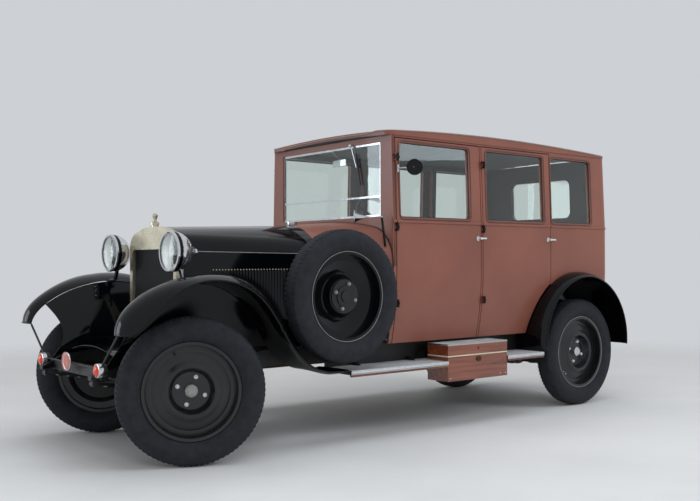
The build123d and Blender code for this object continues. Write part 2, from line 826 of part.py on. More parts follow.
def column_bar(radius, start, end):
    """A bar on the line of the steering column, measured from the wheel's hub downwards."""
    rake = radians(COLUMN_RAKE)
    direction = Vector(cos(rake), 0, -sin(rake))
    hub = Vector(*STEERING_HUB)
    return rod(tuple(hub + direction * start), tuple(hub + direction * end), radius)


def steering():
    """The column with its box on the chassis, and the wheel on its shaft."""
    column = column_bar(18, 30, 960)
    box = block((-900, -780), (225, RAIL_HALF - RAIL_FLANGE), (500, 720))
    column += box
    column -= column_bar(9 + SHAFT_CLEARANCE, 20, 190)
    plane = Plane(origin=STEERING_HUB, z_dir=(cos(radians(COLUMN_RAKE)), 0, -sin(radians(COLUMN_RAKE))))
    wheel = plane * (Torus(STEERING_WHEEL_RADIUS - 13, 13) + Pos(0, 0, 10) * Cylinder(30, 24))
    for index in range(4):
        spoke = Rot(0, 0, 45 + 90 * index) * (Pos(100, 0, 6) * Box(170, 20, 8))
        wheel += plane * spoke
    wheel += column_bar(9, 15, 170)
    return column, wheel


def headlamps():
    """Two bell-shaped lamps on posts from the chassis, and their lenses."""
    reach = LAMP_LENGTH
    rim = LAMP_RADIUS
    glass = rim - 9
    shell = make_face(
        Curve()
        + [
            Line((0, 0), (rim, 0)),
            Line((rim, 0), (rim, -26)),
            Spline((rim, -26), (rim - 9, -60), (rim - 34, -96), (rim - 70, -126), (22, -reach)),
            Line((22, -reach), (0, -reach)),
            Line((0, -reach), (0, 0)),
        ]
    )
    hollow = outline(((0, 1), (glass, 1), (glass, -30), (rim - 48, -92), (0, -100)))
    lens = make_face(
        Curve()
        + [
            Line((0, -12), (glass, -12)),
            Line((glass, -12), (glass, -4)),
            dome(-4, glass, 16),
            Line((0, 12), (0, -12)),
        ]
    )
    place = Pos(LAMP_X, LAMP_Y, LAMP_Z) * Rot(0, 0, -90)
    ball = place * turned(shell)
    elbow = (-30, LAMP_Y + 50, LAMP_Z - 165)
    post = rod((-30, LAMP_Y, LAMP_Z - 60), elbow, 12) + Pos(*elbow) * Sphere(12)
    post += rod(elbow, (-30, FENDER_INNER + 40, elbow[2] - 8), 12) - front_fenders()
    tie = rod(elbow, (RADIATOR_FRONT - 20, RADIATOR_HALF - 10, elbow[2] - 10), 7)
    post += tie & block((-200, 200), (RADIATOR_HALF, 600), (500, LAMP_Z))
    lamp = (ball - place * turned(hollow)) + (post - ball)
    return both(lamp), both(place * turned(lens))


def front_fittings():
    """Direction lamps on the dumb irons, a plain disc on a bar, and the bar itself."""
    x, y, z = INDICATOR
    lamp = rod((x - 45, y, z), (x - 6, y, z), 34) + rod((x - 6, y, z), (x, y, z), 36)
    lamp += rod((x - 30, y, z - 20), (x - 30, y - 20, 455), 9)
    lamp -= filled_rail()
    bar = rod((x - 30, -y + 10, 508), (x - 30, y - 10, 508), 5)
    disc = rod((x - 4, -20, 520), (x + 4, -20, 520), 50)
    disc += block((x - 34, x - 3), (-24, -16), (504, 512))
    both_lamps = lamp + mirrored(lamp) + bar + disc
    return both_lamps - filled_rail() - mirrored(filled_rail())


# Fenders


# Front fender stations: x, z, slope, inner y, outer y, drop at the inner and the outer edge
FENDER_STATIONS = (
    (455, 700, -86, 570, 712, 22, 40),
    (438, 770, -60, 555, 728, 30, 72),
    (345, 868, -42, 530, 738, 35, 74),
    (130, 968, -17, 500, 750, 42, 34),
    (-70, 994, 1, 490, 755, 48, 31),
    (-310, 947, 27, 480, 760, 60, 64),
    (-471, 803, 58, 470, 760, 60, 80),
    (-640, 530, 56, 460, 760, 40, 45),
    (-740, 455, 20, 455, 760, 15, 15),
    (-930, 435, 0, 450, 760, 4, 4),
)


def fender_edge(station, inner):
    """The x and z of a station's inner or outer edge."""
    x, z, slope, _, _, inner_drop, outer_drop = station
    drop = inner_drop if inner else outer_drop
    turn = radians(slope)
    return x + drop * sin(turn), z - drop * cos(turn)


def front_fenders():
    """Crowned sheets over the front wheels, each with an apron down to the chassis."""
    sections = []
    for x, z, slope, inner_y, outer_y, inner_drop, outer_drop in FENDER_STATIONS:
        turn = radians(slope)
        plane = Plane(origin=(x, 0, z), x_dir=(0, 1, 0), z_dir=(cos(turn), 0, sin(turn)))
        middle = (inner_y + outer_y) / 2
        section = make_face(
            Curve()
            + [
                ThreePointArc((inner_y, -inner_drop), (middle, 0), (outer_y, -outer_drop)),
                Line((outer_y, -outer_drop), (outer_y - 1, -outer_drop - FENDER_SHEET)),
                ThreePointArc(
                    (outer_y - 1, -outer_drop - FENDER_SHEET),
                    (middle, -FENDER_SHEET),
                    (inner_y + 1, -inner_drop - FENDER_SHEET),
                ),
                Line((inner_y + 1, -inner_drop - FENDER_SHEET), (inner_y, -inner_drop)),
            ]
        )
        sections.append(plane * section)
    sheet = loft(sections)
    edge = [fender_edge(station, True) for station in FENDER_STATIONS[2:8]]
    apron = make_face(
        Curve()
        + [
            Spline(*edge),
            Line(edge[-1], (APRON_FOOT[0], edge[-1][1])),
            Line((APRON_FOOT[0], edge[-1][1]), APRON_FOOT),
            ThreePointArc(APRON_FOOT, APRON_WAIST, APRON_TOP),
            Line(APRON_TOP, edge[0]),
        ]
    )
    slab = outline(
        (
            (RAIL_HALF, 440),
            (RAIL_HALF + SHEET, 440),
            (RAIL_HALF + SHEET, RAIL_TOP - 8),
            (FENDER_INNER + SHEET + 30, 1020),
            (FENDER_INNER + 30, 1020),
            (RAIL_HALF, RAIL_TOP - 8),
        )
    )
    apron_sheet = across(apron, 300, 600) & along(slab, -700, 500)
    return sheet + apron_sheet


def front_valance():
    """The arched tray between the dumb irons, standing on the side members."""
    foot = RAIL_HALF - RAIL_FLANGE
    low, high = RAIL_TOP, VALANCE_TOP
    face = make_face(
        Curve()
        + [
            Line((-RAIL_HALF, low), (-foot, low)),
            ThreePointArc((-foot, low), (0, high - SHEET), (foot, low)),
            Line((foot, low), (RAIL_HALF, low)),
            Line((RAIL_HALF, low), (RAIL_HALF, low + SHEET)),
            Line((RAIL_HALF, low + SHEET), (foot - 8, low + SHEET)),
            ThreePointArc((foot - 8, low + SHEET), (0, high), (8 - foot, low + SHEET)),
            Line((8 - foot, low + SHEET), (-RAIL_HALF, low + SHEET)),
            Line((-RAIL_HALF, low + SHEET), (-RAIL_HALF, low)),
        ]
    )
    return along(face, RADIATOR_FRONT + 1, VALANCE_FRONT)


def bonnet_ledge():
    """The left sheet that closes the gap from the side member up to the bonnet's foot."""
    low, high = RAIL_TOP, BONNET_BOTTOM - LEDGE_GAP
    ends = []
    for x, foot, top in (
        (BONNET_FRONT, RAIL_HALF - 25, BONNET_FRONT_HALF - SHEET),
        (BONNET_REAR, RAIL_HALF - 15, BONNET_REAR_HALF - SHEET),
    ):
        face = outline(((foot, low), (foot + SHEET, low), (top + SHEET, high), (top, high)))
        ends.append(Plane.YZ.offset(x) * face)
    return loft(ends)


def rear_fenders():
    """Round sheets over the rear wheels, joined to the wheelhouse inside the body."""
    face = make_face(
        Curve()
        + [
            Line((ARCH_RADIUS, ARCH_INNER), (ARCH_RADIUS, BODY_HALF)),
            ThreePointArc((ARCH_RADIUS, BODY_HALF), (502, 705), (476, FENDER_OUTER)),
            Line((476, FENDER_OUTER), (472, FENDER_OUTER - 3)),
            ThreePointArc((472, FENDER_OUTER - 3), (498, 704), (ARCH_RADIUS - SHEET, BODY_HALF)),
            Line((ARCH_RADIUS - SHEET, BODY_HALF), (ARCH_RADIUS - SHEET, ARCH_INNER + SHEET)),
            Line((ARCH_RADIUS - SHEET, ARCH_INNER + SHEET), (60, ARCH_INNER + SHEET)),
            Line((60, ARCH_INNER + SHEET), (60, ARCH_INNER)),
            Line((60, ARCH_INNER), (ARCH_RADIUS, ARCH_INNER)),
        ]
    )
    ring = Pos(ARCH_X, 0, ARCH_Z) * turned(face)
    return ring & block((ARCH_X - 600, ARCH_X + 600), (400, 800), (BOARD_TOP, 1100))


def arch_cut():
    """The round space over a rear wheel, left side."""
    return rod((ARCH_X, ARCH_INNER, ARCH_Z), (ARCH_X, 900, ARCH_Z), ARCH_RADIUS)


def door_arch():
    """The space that a rear door leaves over the wheel, wider inside so that the door swings clear."""
    face = outline(
        (
            (0, ARCH_INNER),
            (ARCH_RADIUS + ARCH_BEVEL, ARCH_INNER),
            (ARCH_RADIUS + ARCH_GAP, SILL_HALF + 2),
            (ARCH_RADIUS + ARCH_GAP, 900),
            (0, 900),
        )
    )
    return Pos(ARCH_X, 0, ARCH_Z) * turned(face)


def running_boards():
    """Left board with the tool box's gap, right board whole, each with its inner valance."""
    rear = ARCH_X + ARCH_RADIUS
    front = FENDER_STATIONS[-1][0]
    boards = []
    for side in (1, -1):
        board = block((rear, front), (ARCH_INNER, BOARD_OUTER), (BOARD_TOP - BOARD_THICK, BOARD_TOP))
        board += block(
            (rear, front), (ARCH_INNER, ARCH_INNER + SHEET), (BOARD_TOP - 1, BODY_BOTTOM)
        )
        for x in BOARD_BRACKETS:
            arm = outline(((RAIL_HALF, 520), (RAIL_HALF, 455), (620, 384), (740, 396), (740, 404), (620, 404)))
            board += along(arm, x - 15, x + 15)
        if side > 0:
            board -= block((BOX_REAR - 1, BOX_FRONT + 1), (BOX_INNER - 1, 900), (200, BODY_BOTTOM - 30))
        boards.append(board if side > 0 else mirrored(board))
    return Compound(children=boards)


def tool_box():
    """The wooden box let into the left board, and its lid."""
    wall = BOX_WALL
    box = block((BOX_REAR, BOX_FRONT), (BOX_INNER, BOX_OUTER), (BOX_BOTTOM, BOX_LID - 1))
    box -= block(
        (BOX_REAR + wall, BOX_FRONT - wall),
        (BOX_INNER + wall, BOX_OUTER - wall),
        (BOX_BOTTOM + wall, BOX_LID),
    )
    lid = block((BOX_REAR, BOX_FRONT), (BOX_INNER, BOX_OUTER), (BOX_LID + 1, BOX_TOP))
    lid -= block(
        (BOX_REAR + wall, BOX_FRONT - wall),
        (BOX_INNER + wall, BOX_OUTER - wall),
        (BOX_LID, BOX_TOP - wall),
    )
    return box, lid


# Body


# Half the width of the body's outer face at each height, from the sill to the roof
WALL_OUTER = (
    (SILL_HALF, BODY_BOTTOM),
    (628, 750),
    (BODY_HALF, TURN_UNDER_TOP),
    (BODY_HALF, WINDOW_BOTTOM),
    (ROOF_HALF, WALL_TOP),
)


def wall_section(inset=0, thickness=WALL):
    """The wall's section as (y, z): turned under at the sill, leaning in above the belt."""

    def at(index, depth):
        y, z = WALL_OUTER[index]
        return (y - depth, z)

    far = inset + thickness
    return make_face(
        Curve()
        + [
            ThreePointArc(at(0, inset), at(1, inset), at(2, inset)),
            Line(at(2, inset), at(3, inset)),
            Line(at(3, inset), at(4, inset)),
            Line(at(4, inset), at(4, far)),
            Line(at(4, far), at(3, far)),
            Line(at(3, far), at(2, far)),
            ThreePointArc(at(2, far), at(1, far), at(0, far)),
            Line(at(0, far), at(0, inset)),
        ]
    )


def body_wall():
    """The wall all round: along the left side, round the tail and back along the right."""
    path = FilletPolyline(
        (BODY_FRONT, BODY_HALF),
        (BODY_REAR, BODY_HALF),
        (BODY_REAR, -BODY_HALF),
        (BODY_FRONT, -BODY_HALF),
        radius=REAR_CORNER,
    )
    start = Plane.YZ.offset(BODY_FRONT)
    belt = start * Pos(BODY_HALF + 1, BELT_Z) * RectangleRounded(10, BELT_HEIGHT, 4)
    return sweep(start * wall_section(), path) + sweep(belt, path)


# Doors: front and rear edge, window front and rear edge
DOORS = {
    "front": (-1388, -2142, -1422, -2040),
    "rear": (-2166, -2872, -2208, -2802),
}
QUARTER_WINDOW = (-2892, -3350)
REAR_WINDOW_HALF = 300

# Roof stations: x, height of the side edge, crown
ROOF_STATIONS = (
    (-1300, 1860, 20),
    (-2140, 1889, 30),
    (-2850, 1881, 30),
    (-3630, 1846, 22),
)

# Seats: front edge, depth, half width, height of the base under the cushion
SEATS = (
    (-1740, 430, 530, 720),
    (-2830, 450, 480, 740),
)


def door_blank(front, rear, gap):
    """An upright prism over a door, grown by the gap where it cuts the frame."""
    return block((rear - gap, front + gap), (300, 900), (BODY_BOTTOM - 1 - gap, DOOR_TOP + gap))


def window(front, rear):
    """A prism through the wall with the window's rounded outline."""
    face = outline(
        (
            (front, WINDOW_BOTTOM),
            (front, WINDOW_TOP),
            (rear, WINDOW_TOP),
            (rear, WINDOW_BOTTOM),
        ),
        WINDOW_CORNER,
    )
    return across(face, 300, 900)


def pane(front, rear):
    """Window glass in the middle of the wall's thickness, leaning with it."""
    lean = (BODY_HALF - ROOF_HALF) / (WALL_TOP - WINDOW_BOTTOM)
    low = BODY_HALF - WALL / 2
    high = low - lean * (WINDOW_TOP - WINDOW_BOTTOM)
    face = outline(
        (
            (low, WINDOW_BOTTOM),
            (low + GLASS, WINDOW_BOTTOM),
            (high + GLASS, WINDOW_TOP),
            (high, WINDOW_TOP),
        )
    )
    return along(face, rear, front) & window(front, rear)


def hung_door(blank, front):
    """Give a left door its hinge arms; return it with the pins that its frame carries."""
    hinge_x = front + DOOR_GAP / 2
    door = blank
    pins = []

    def upright(low, high, radius):
        return rod((hinge_x, HINGE_Y, low), (hinge_x, HINGE_Y, high), radius)

    for z in HINGE_HEIGHTS:
        arm = block((hinge_x - 14, hinge_x), (HINGE_Y - 40, HINGE_Y), (z - 11, z + 11))
        door += arm + upright(z - 11, z + 11, KNUCKLE_RADIUS)
        door -= upright(z - 12, z + 12, PIN_RADIUS + SHAFT_CLEARANCE)
        pins.append(upright(z - 24, z + 24, PIN_RADIUS))
        for low, high in ((z - 24, z - 12), (z + 12, z + 24)):
            pins.append(upright(low, high, KNUCKLE_RADIUS))
            pins.append(block((hinge_x + 1, hinge_x + 13), (HINGE_Y - 40, HINGE_Y), (low, high)))
    return door, pins


def handle(rear):
    """A door's lever handle, pointing to the rear."""
    x = rear + 26
    stem = rod((x, BODY_HALF - 6, HANDLE_Z), (x, BODY_HALF + 32, HANDLE_Z), 8)
    lever_y = BODY_HALF + 27
    return stem + rod((x, lever_y, HANDLE_Z), (x - HANDLE_LENGTH, lever_y, HANDLE_Z), 6)


def body_pieces():
    """Side frames, rear panel, doors and glass, all cut from one wall."""
    wall = body_wall()
    left = wall & block((REAR_SPLIT, BODY_FRONT + 1), (0, 800), (0, 2000))
    rear = wall & block((BODY_REAR - 100, REAR_SPLIT), (-800, 800), (0, 2000))
    rear = rear - arch_cut() - mirrored(arch_cut())
    rear_window = outline(
        (
            (-REAR_WINDOW_HALF, REAR_WINDOW[0]),
            (REAR_WINDOW_HALF, REAR_WINDOW[0]),
            (REAR_WINDOW_HALF, REAR_WINDOW[1]),
            (-REAR_WINDOW_HALF, REAR_WINDOW[1]),
        ),
        50,
    )
    rear -= along(rear_window, BODY_REAR - 100, REAR_SPLIT - 20)
    frame = left - arch_cut()
    pieces = {}
    for name, (front, back, glass_front, glass_back) in DOORS.items():
        frame -= door_blank(front, back, DOOR_GAP)
        blank = (left & door_blank(front, back, 0)) - door_arch()
        blank -= window(glass_front, glass_back)
        door, pins = hung_door(blank, front)
        door += handle(back)
        for pin in pins:
            frame += pin
        glass = pane(glass_front, glass_back)
        pieces[f"door_{name}_left"] = door
        pieces[f"door_{name}_right"] = mirrored(door)
        pieces[f"glass_{name}_left"] = glass
        pieces[f"glass_{name}_right"] = mirrored(glass)
    frame -= window(*QUARTER_WINDOW)
    lining = wall_section(WALL + DOOR_GAP, PILLAR_DEPTH)
    for x in PILLARS:
        post = along(lining, x - 22, x + 22) & block((x - 30, x + 30), (0, 700), (FLOOR_TOP, WALL_TOP))
        frame += post + block((x - 5, x + 5), (ROOF_HALF - WALL - DOOR_GAP - 1, ROOF_HALF - WALL + 10), (DOOR_TOP + DOOR_GAP, WALL_TOP))
    header = along(lining, REAR_SPLIT, BODY_FRONT - 30)
    frame += header & block((REAR_SPLIT - 1, 0), (0, 700), (DOOR_TOP - 22, WALL_TOP))
    frame -= arch_cut()
    quarter = pane(*QUARTER_WINDOW)
    rear_pane = along(rear_window, BODY_REAR + 14, BODY_REAR + 20)
    pieces["side_frame_left"] = frame
    pieces["side_frame_right"] = mirrored(frame)
    pieces["rear_panel"] = rear
    pieces["fixed_glass"] = Compound(children=[quarter, mirrored(quarter), rear_pane])
    return pieces


def front_frame():
    """The frame round the windscreen, down to the instrument board."""
    inner_low = BODY_HALF - WALL
    inner_high = ROOF_HALF - WALL
    edge = outline(
        (
            (inner_low, 1200),
            (inner_low, WINDOW_BOTTOM),
            (inner_high, WALL_TOP),
            (-inner_high, WALL_TOP),
            (-inner_low, WINDOW_BOTTOM),
            (-inner_low, 1200),
        )
    )
    opening = outline(
        (
            (-SCREEN_HALF, SCREEN_BOTTOM),
            (SCREEN_HALF, SCREEN_BOTTOM),
            (SCREEN_HALF, SCREEN_TOP),
            (-SCREEN_HALF, SCREEN_TOP),
        ),
        12,
    )
    ring = along(edge, BODY_FRONT - 30, BODY_FRONT) - along(opening, BODY_FRONT - 31, BODY_FRONT + 1)
    border = 13
    trim = along(opening, BODY_FRONT - 22, BODY_FRONT - 8)
    panes = []
    for low, high in ((SCREEN_BOTTOM + border, SCREEN_JOINT - 6), (SCREEN_JOINT + 6, SCREEN_TOP - border)):
        width = (border - SCREEN_HALF, SCREEN_HALF - border)
        trim -= block((BODY_FRONT - 30, BODY_FRONT), width, (low, high))
        panes.append(block((BODY_FRONT - 18, BODY_FRONT - 13), width, (low, high)))
    return ring, trim, Compound(children=panes)


def roof():
    """The roof, crowned both ways over a level ledge."""
    sections = []
    for x, edge, crown in ROOF_STATIONS:
        section = make_face(
            Curve()
            + [
                Line((660, WALL_TOP), (660, edge)),
                ThreePointArc((660, edge), (0, edge + crown), (-660, edge)),
                Line((-660, edge), (-660, WALL_TOP)),
                Line((-660, WALL_TOP), (-ROOF_LEDGE, WALL_TOP)),
                ThreePointArc((-ROOF_LEDGE, WALL_TOP), (0, WALL_TOP + ROOF_HOLLOW), (ROOF_LEDGE, WALL_TOP)),
                Line((ROOF_LEDGE, WALL_TOP), (660, WALL_TOP)),
            ]
        )
        sections.append(Plane.YZ.offset(x) * section)
    slab = loft(sections)
    half = ROOF_HALF + 6
    plan = outline(
        (
            (ROOF_FRONT, half),
            (BODY_REAR + 8, half),
            (BODY_REAR + 8, -half),
            (ROOF_FRONT, -half),
        ),
        (50, REAR_CORNER, REAR_CORNER, 50),
    )
    return slab & upward(plan, WALL_TOP - 5, 2000)


def floor():
    """Flat floor over the chassis, cut round the wheelhouses."""
    half = SILL_HALF - WALL
    plate = block((BODY_REAR + 95, BODY_FRONT), (-half, half), (FLOOR_TOP - FLOOR_THICK, FLOOR_TOP))
    return plate - arch_cut() - mirrored(arch_cut())


def seats():
    """Front and rear benches with their backs."""
    benches = []
    for front, depth, half, base in SEATS:
        cushion = outline(
            (
                (front, base),
                (front, base + 160),
                (front - depth, base + 140),
                (front - depth, base),
            ),
            (20, 45, 20, 10),
        )
        back = outline(
            (
                (front - depth + 20, base + 100),
                (front - depth - 50, SEAT_TOP),
                (front - depth - 130, SEAT_TOP),
                (front - depth - 110, base + 20),
                (front - depth + 20, base + 20),
            ),
            (10, 30, 30, 10, 10),
        )
        box = block((front - depth, front - 30), (-half + 15, half - 15), (FLOOR_TOP, base))
        benches.append(across(cushion, -half, half) + across(back, -half, half) + box)
    return benches


def horn():
    """Bulb horn's trumpet on the left of the scuttle, with its tube."""
    face = make_face(
        Curve()
        + [
            Line((0, 8), (0, 0)),
            Line((0, 0), (170, 0)),
            Line((170, 0), (170, 40)),
            ThreePointArc((170, 40), (130, 17), (0, 8)),
        ]
    )
    start = (-1310, 590, 1332)
    plane = Plane(origin=start, x_dir=(140, -90, 0), z_dir=(0, 0, 1))
    trumpet = plane * revolve(face, Axis.X)
    tube = rod(start, (-1325, 606, 1150), 7) + Pos(*start) * Sphere(8.5)
    return trumpet + tube


def door_mirror():
    """Round mirror on an arm at the left front door."""
    arm = rod((-1400, 636, 1632), (-1450, 738, 1635), 6)
    glass = rod((-1456, 730, 1635), (-1449, 739, 1635), MIRROR_RADIUS)
    return arm + glass


def build():
    """All nodes by name."""
    nodes = {}
    nodes["chassis_frame"] = chassis_frame()
    nodes["front_axle"] = front_axle()
    nodes["rear_axle"] = rear_axle()
    nodes["leaf_springs"] = leaf_springs()
    nodes["engine"] = engine()
    nodes["exhaust_pipe"] = exhaust()
    nodes.update(front_end())
    nodes.update(rear_wheels())
    nodes.update(spare())
    nodes["radiator_shell"], nodes["radiator_core"] = radiator()
    top, side, hinge = bonnet()
    for label, shape in (("bonnet_top", top), ("bonnet_side", side)):
        nodes[f"{label}_left"] = shape
        nodes[f"{label}_right"] = mirrored(shape)
    nodes["bonnet_hinge"] = hinge
    nodes["scuttle"] = scuttle()
    nodes["steering_column"], nodes["steering_wheel"] = steering()
    nodes["headlamps"], nodes["headlamp_lenses"] = headlamps()
    nodes["front_fittings"] = front_fittings()
    nodes["front_fenders"] = Compound(
        children=[both(front_fenders()), front_valance(), both(bonnet_ledge())]
    )
    nodes["rear_fenders"] = both(rear_fenders())
    nodes["running_boards"] = running_boards()
    nodes["tool_box"], nodes["tool_box_lid"] = tool_box()
    nodes.update(body_pieces())
    nodes["windscreen_surround"], nodes["windscreen_frame"], nodes["windscreen_glass"] = front_frame()
    nodes["roof"] = roof()
    nodes["floor"] = floor()
    nodes["front_seat"], nodes["rear_seat"] = seats()
    nodes["horn"] = horn() - scuttle_form()[0]
    nodes["door_mirror"] = door_mirror() - nodes["door_front_left"]
    return nodes


os.makedirs("parts", exist_ok=True)
for node, shape in build().items():
    export_step(shape, f"parts/{node}.step")
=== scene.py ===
"""Dresses the frame of a closed motor car of the 1920s: finishes, trim, seats and studio."""
import logging
from collections.abc import Callable
from dataclasses import dataclass
from enum import Enum
from math import atan2, cos, degrees, hypot, pi, radians, sin
from typing import ClassVar

import bmesh
import bpy
from mathutils import Matrix, Vector


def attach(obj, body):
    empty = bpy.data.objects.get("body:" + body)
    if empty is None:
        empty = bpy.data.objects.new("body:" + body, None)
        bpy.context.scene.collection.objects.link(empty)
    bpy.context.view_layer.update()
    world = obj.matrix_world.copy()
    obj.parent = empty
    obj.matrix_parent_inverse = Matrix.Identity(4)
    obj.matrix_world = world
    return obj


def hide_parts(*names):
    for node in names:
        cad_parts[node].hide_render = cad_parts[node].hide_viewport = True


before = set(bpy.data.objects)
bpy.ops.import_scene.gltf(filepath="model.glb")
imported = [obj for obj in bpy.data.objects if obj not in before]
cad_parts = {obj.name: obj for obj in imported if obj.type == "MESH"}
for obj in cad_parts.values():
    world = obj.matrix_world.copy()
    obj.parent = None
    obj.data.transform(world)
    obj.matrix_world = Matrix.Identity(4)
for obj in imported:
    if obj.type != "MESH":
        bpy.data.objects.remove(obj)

LOG = logging.getLogger("car")
MM = 0.001
Piece = bpy.types.Object
Material = bpy.types.Material
Tree = bpy.types.NodeTree
Socket = bpy.types.NodeSocket
Span = tuple[float, float]
Point = tuple[float, float, float]
Steps = list[Span]
FaceTest = Callable[[Vector, Vector], bool]
CORNERS = ("front_left", "front_right", "rear_left", "rear_right")
SIDES = ("left", "right")
# The left headlamp's middle and the radius of its bowl
LAMP: Point = (0.027, 0.373, 1.113)
BOWL_RADIUS = 0.1025


def each(stem: str, ends: tuple[str, ...] = CORNERS) -> tuple[str, ...]:
    """The names that a stem has with every ending."""
    return tuple(f"{stem}_{end}" for end in ends)


def linear(colour: str) -> tuple[float, float, float, float]:
    """Turns an sRGB hex value into linear colour.

    Args:
        colour: six hex digits after a hash.

    Returns:
        Red, green, blue and an alpha of one.
    """
    channels = [int(colour[i:i + 2], 16) / 255 for i in (1, 3, 5)]
    bent = [c / 12.92 if c <= 0.04045 else ((c + 0.055) / 1.055) ** 2.4 for c in channels]
    return (*bent, 1.0)


def add_node(
    tree: Tree,
    kind: str,
    values: dict[str | int, object] | None = None,
    links: dict[str | int, Socket] | None = None,
    **settings: object,
) -> bpy.types.Node:
    """Adds one node with its settings, socket values and links.

    Args:
        tree: the node tree that gets the node.
        kind: the node's type name.
        values: socket name or number to its plain value.
        links: socket name or number to the output that feeds it.
        **settings: the node's own properties.

    Returns:
        The new node.
    """
    node = tree.nodes.new(kind)
    for key, value in settings.items():
        setattr(node, key, value)
    for key, value in (values or {}).items():
        node.inputs[key].default_value = value
    for key, output in (links or {}).items():
        tree.links.new(output, node.inputs[key])
    return node


def reckon(tree: Tree, operation: str, *terms: float | Socket) -> Socket:
    """One step of arithmetic on numbers and outputs, as the output with its result."""
    numbers = {at: term for at, term in enumerate(terms) if not isinstance(term, Socket)}
    outputs = {at: term for at, term in enumerate(terms) if isinstance(term, Socket)}
    return add_node(tree, "ShaderNodeMath", numbers, outputs, operation=operation).outputs["Value"]


def spread(tree: Tree, value: Socket, target: Span, source: Span = (0.0, 1.0), **settings: object) -> Socket:
    """A value carried over from one range to another."""
    ends = {"From Min": source[0], "From Max": source[1], "To Min": target[0], "To Max": target[1]}
    return add_node(tree, "ShaderNodeMapRange", ends, {"Value": value}, **settings).outputs["Result"]


def blend(tree: Tree, value: Socket, levels: Span, colours: tuple[str, str]) -> Socket:
    """A colour that goes from one to another between two levels of a value."""
    ramp = add_node(tree, "ShaderNodeValToRGB", links={"Fac": value})
    for stop, level, colour in zip(ramp.color_ramp.elements, levels, colours):
        stop.position = level
        stop.color = linear(colour)
    return ramp.outputs["Color"]


def per_metre(size_mm: float) -> float:
    """The scale of a pattern whose marks are this many millimetres apart."""
    return 1000.0 / size_mm


@dataclass(frozen=True)
class Surface:
    """What a piece is made of: a material that is made once, under its name."""

    name: str
    colour: str

    plain_alpha: ClassVar[float] = 1.0

    def material(self) -> Material:
        """The surface as a material."""
        known = bpy.data.materials.get(self.name)
        if known:
            return known
        made = bpy.data.materials.new(self.name)
        made.use_nodes = True
        made.diffuse_color = (*linear(self.colour)[:3], self.plain_alpha)
        tree = made.node_tree
        place = add_node(tree, "ShaderNodeTexCoord").outputs["Object"]
        for name, source in self.lay_on(tree, place).items():
            socket = tree.nodes["Principled BSDF"].inputs[name]
            if isinstance(source, Socket):
                tree.links.new(source, socket)
            else:
                socket.default_value = source
        return made

    def lay_on(self, tree: Tree, place: Socket) -> dict[str, object]:
        """Makes the nodes.

        Args:
            tree: the material's tree.
            place: object coordinates.

        Returns:
            For each input of the shader that the surface sets, the output that feeds it or its value.
        """
        raise NotImplementedError


def embossed(tree: Tree, height: Socket, strength: float, distance: float) -> Socket:
    """The normal of a fine relief."""
    values = {"Strength": strength, "Distance": distance}
    return add_node(tree, "ShaderNodeBump", values, {"Height": height}).outputs["Normal"]


class Marks(Enum):
    """The kind of fine relief that a finish carries."""

    PEEL = "orange peel of a sprayed or brushed coat"
    CAST = "lumps of a cast or forged face"
    BRUSHED = "fine lines of polishing"
    WEAVE = "crossing threads"
    RIBS = "moulded ribs"
    GRAIN = "leather grain"


@dataclass(frozen=True)
class Finish(Surface):
    """A surface with two near colours, a range of gloss and a fine relief."""

    second: str
    gloss: Span
    metallic: float = 0.0
    coat: float = 0.0
    ior: float = 1.5
    patch_mm: float = 140.0
    marks: Marks = Marks.PEEL
    mark_mm: float = 3.0
    depth: float = 0.05
    sheen: float = 0.0

    def relief(self, tree: Tree, place: Socket) -> Socket:
        """The height that drives the bump."""
        scale = per_metre(self.mark_mm)
        if self.marks in (Marks.WEAVE, Marks.RIBS):
            shape = {"Scale": scale / 6.3, "Distortion": 0.3, "Detail": 1.0}
            kind, at = "ShaderNodeTexWave", {"Vector": place}
            first, second = (add_node(tree, kind, shape, at, bands_direction=axis) for axis in "YZ")
            if self.marks is Marks.RIBS:
                return first.outputs["Fac"]
            return reckon(tree, "MULTIPLY", first.outputs["Fac"], second.outputs["Fac"])
        if self.marks is Marks.GRAIN:
            cells = add_node(tree, "ShaderNodeTexVoronoi", {"Scale": scale}, {"Vector": place})
            return cells.outputs["Distance"]
        if self.marks is Marks.BRUSHED:
            lines = {"Scale": (0.1, 1.0, 1.0)}
            place = add_node(tree, "ShaderNodeMapping", lines, {"Vector": place}).outputs["Vector"]
        shape = {"Scale": scale, "Detail": 6.0 if self.marks is Marks.CAST else 2.0}
        return add_node(tree, "ShaderNodeTexNoise", shape, {"Vector": place}).outputs["Fac"]

    def lay_on(self, tree: Tree, place: Socket) -> dict[str, object]:
        """Patches of two colours and of more and less gloss, under a fine relief."""
        shape = {"Scale": per_metre(self.patch_mm), "Detail": 5.0, "Roughness": 0.6}
        patches = add_node(tree, "ShaderNodeTexNoise", shape, {"Vector": place}).outputs["Fac"]
        inputs = {
            "Base Color": blend(tree, patches, (0.34, 0.68), (self.colour, self.second)),
            "Roughness": spread(tree, patches, self.gloss, (0.3, 0.7)),
            "Normal": embossed(tree, self.relief(tree, place), self.depth, self.mark_mm * MM),
            "Metallic": self.metallic,
            "Coat Weight": self.coat,
            "Coat Roughness": 0.04,
            "Sheen Weight": self.sheen,
        }
        return inputs if self.metallic else {**inputs, "IOR": self.ior}


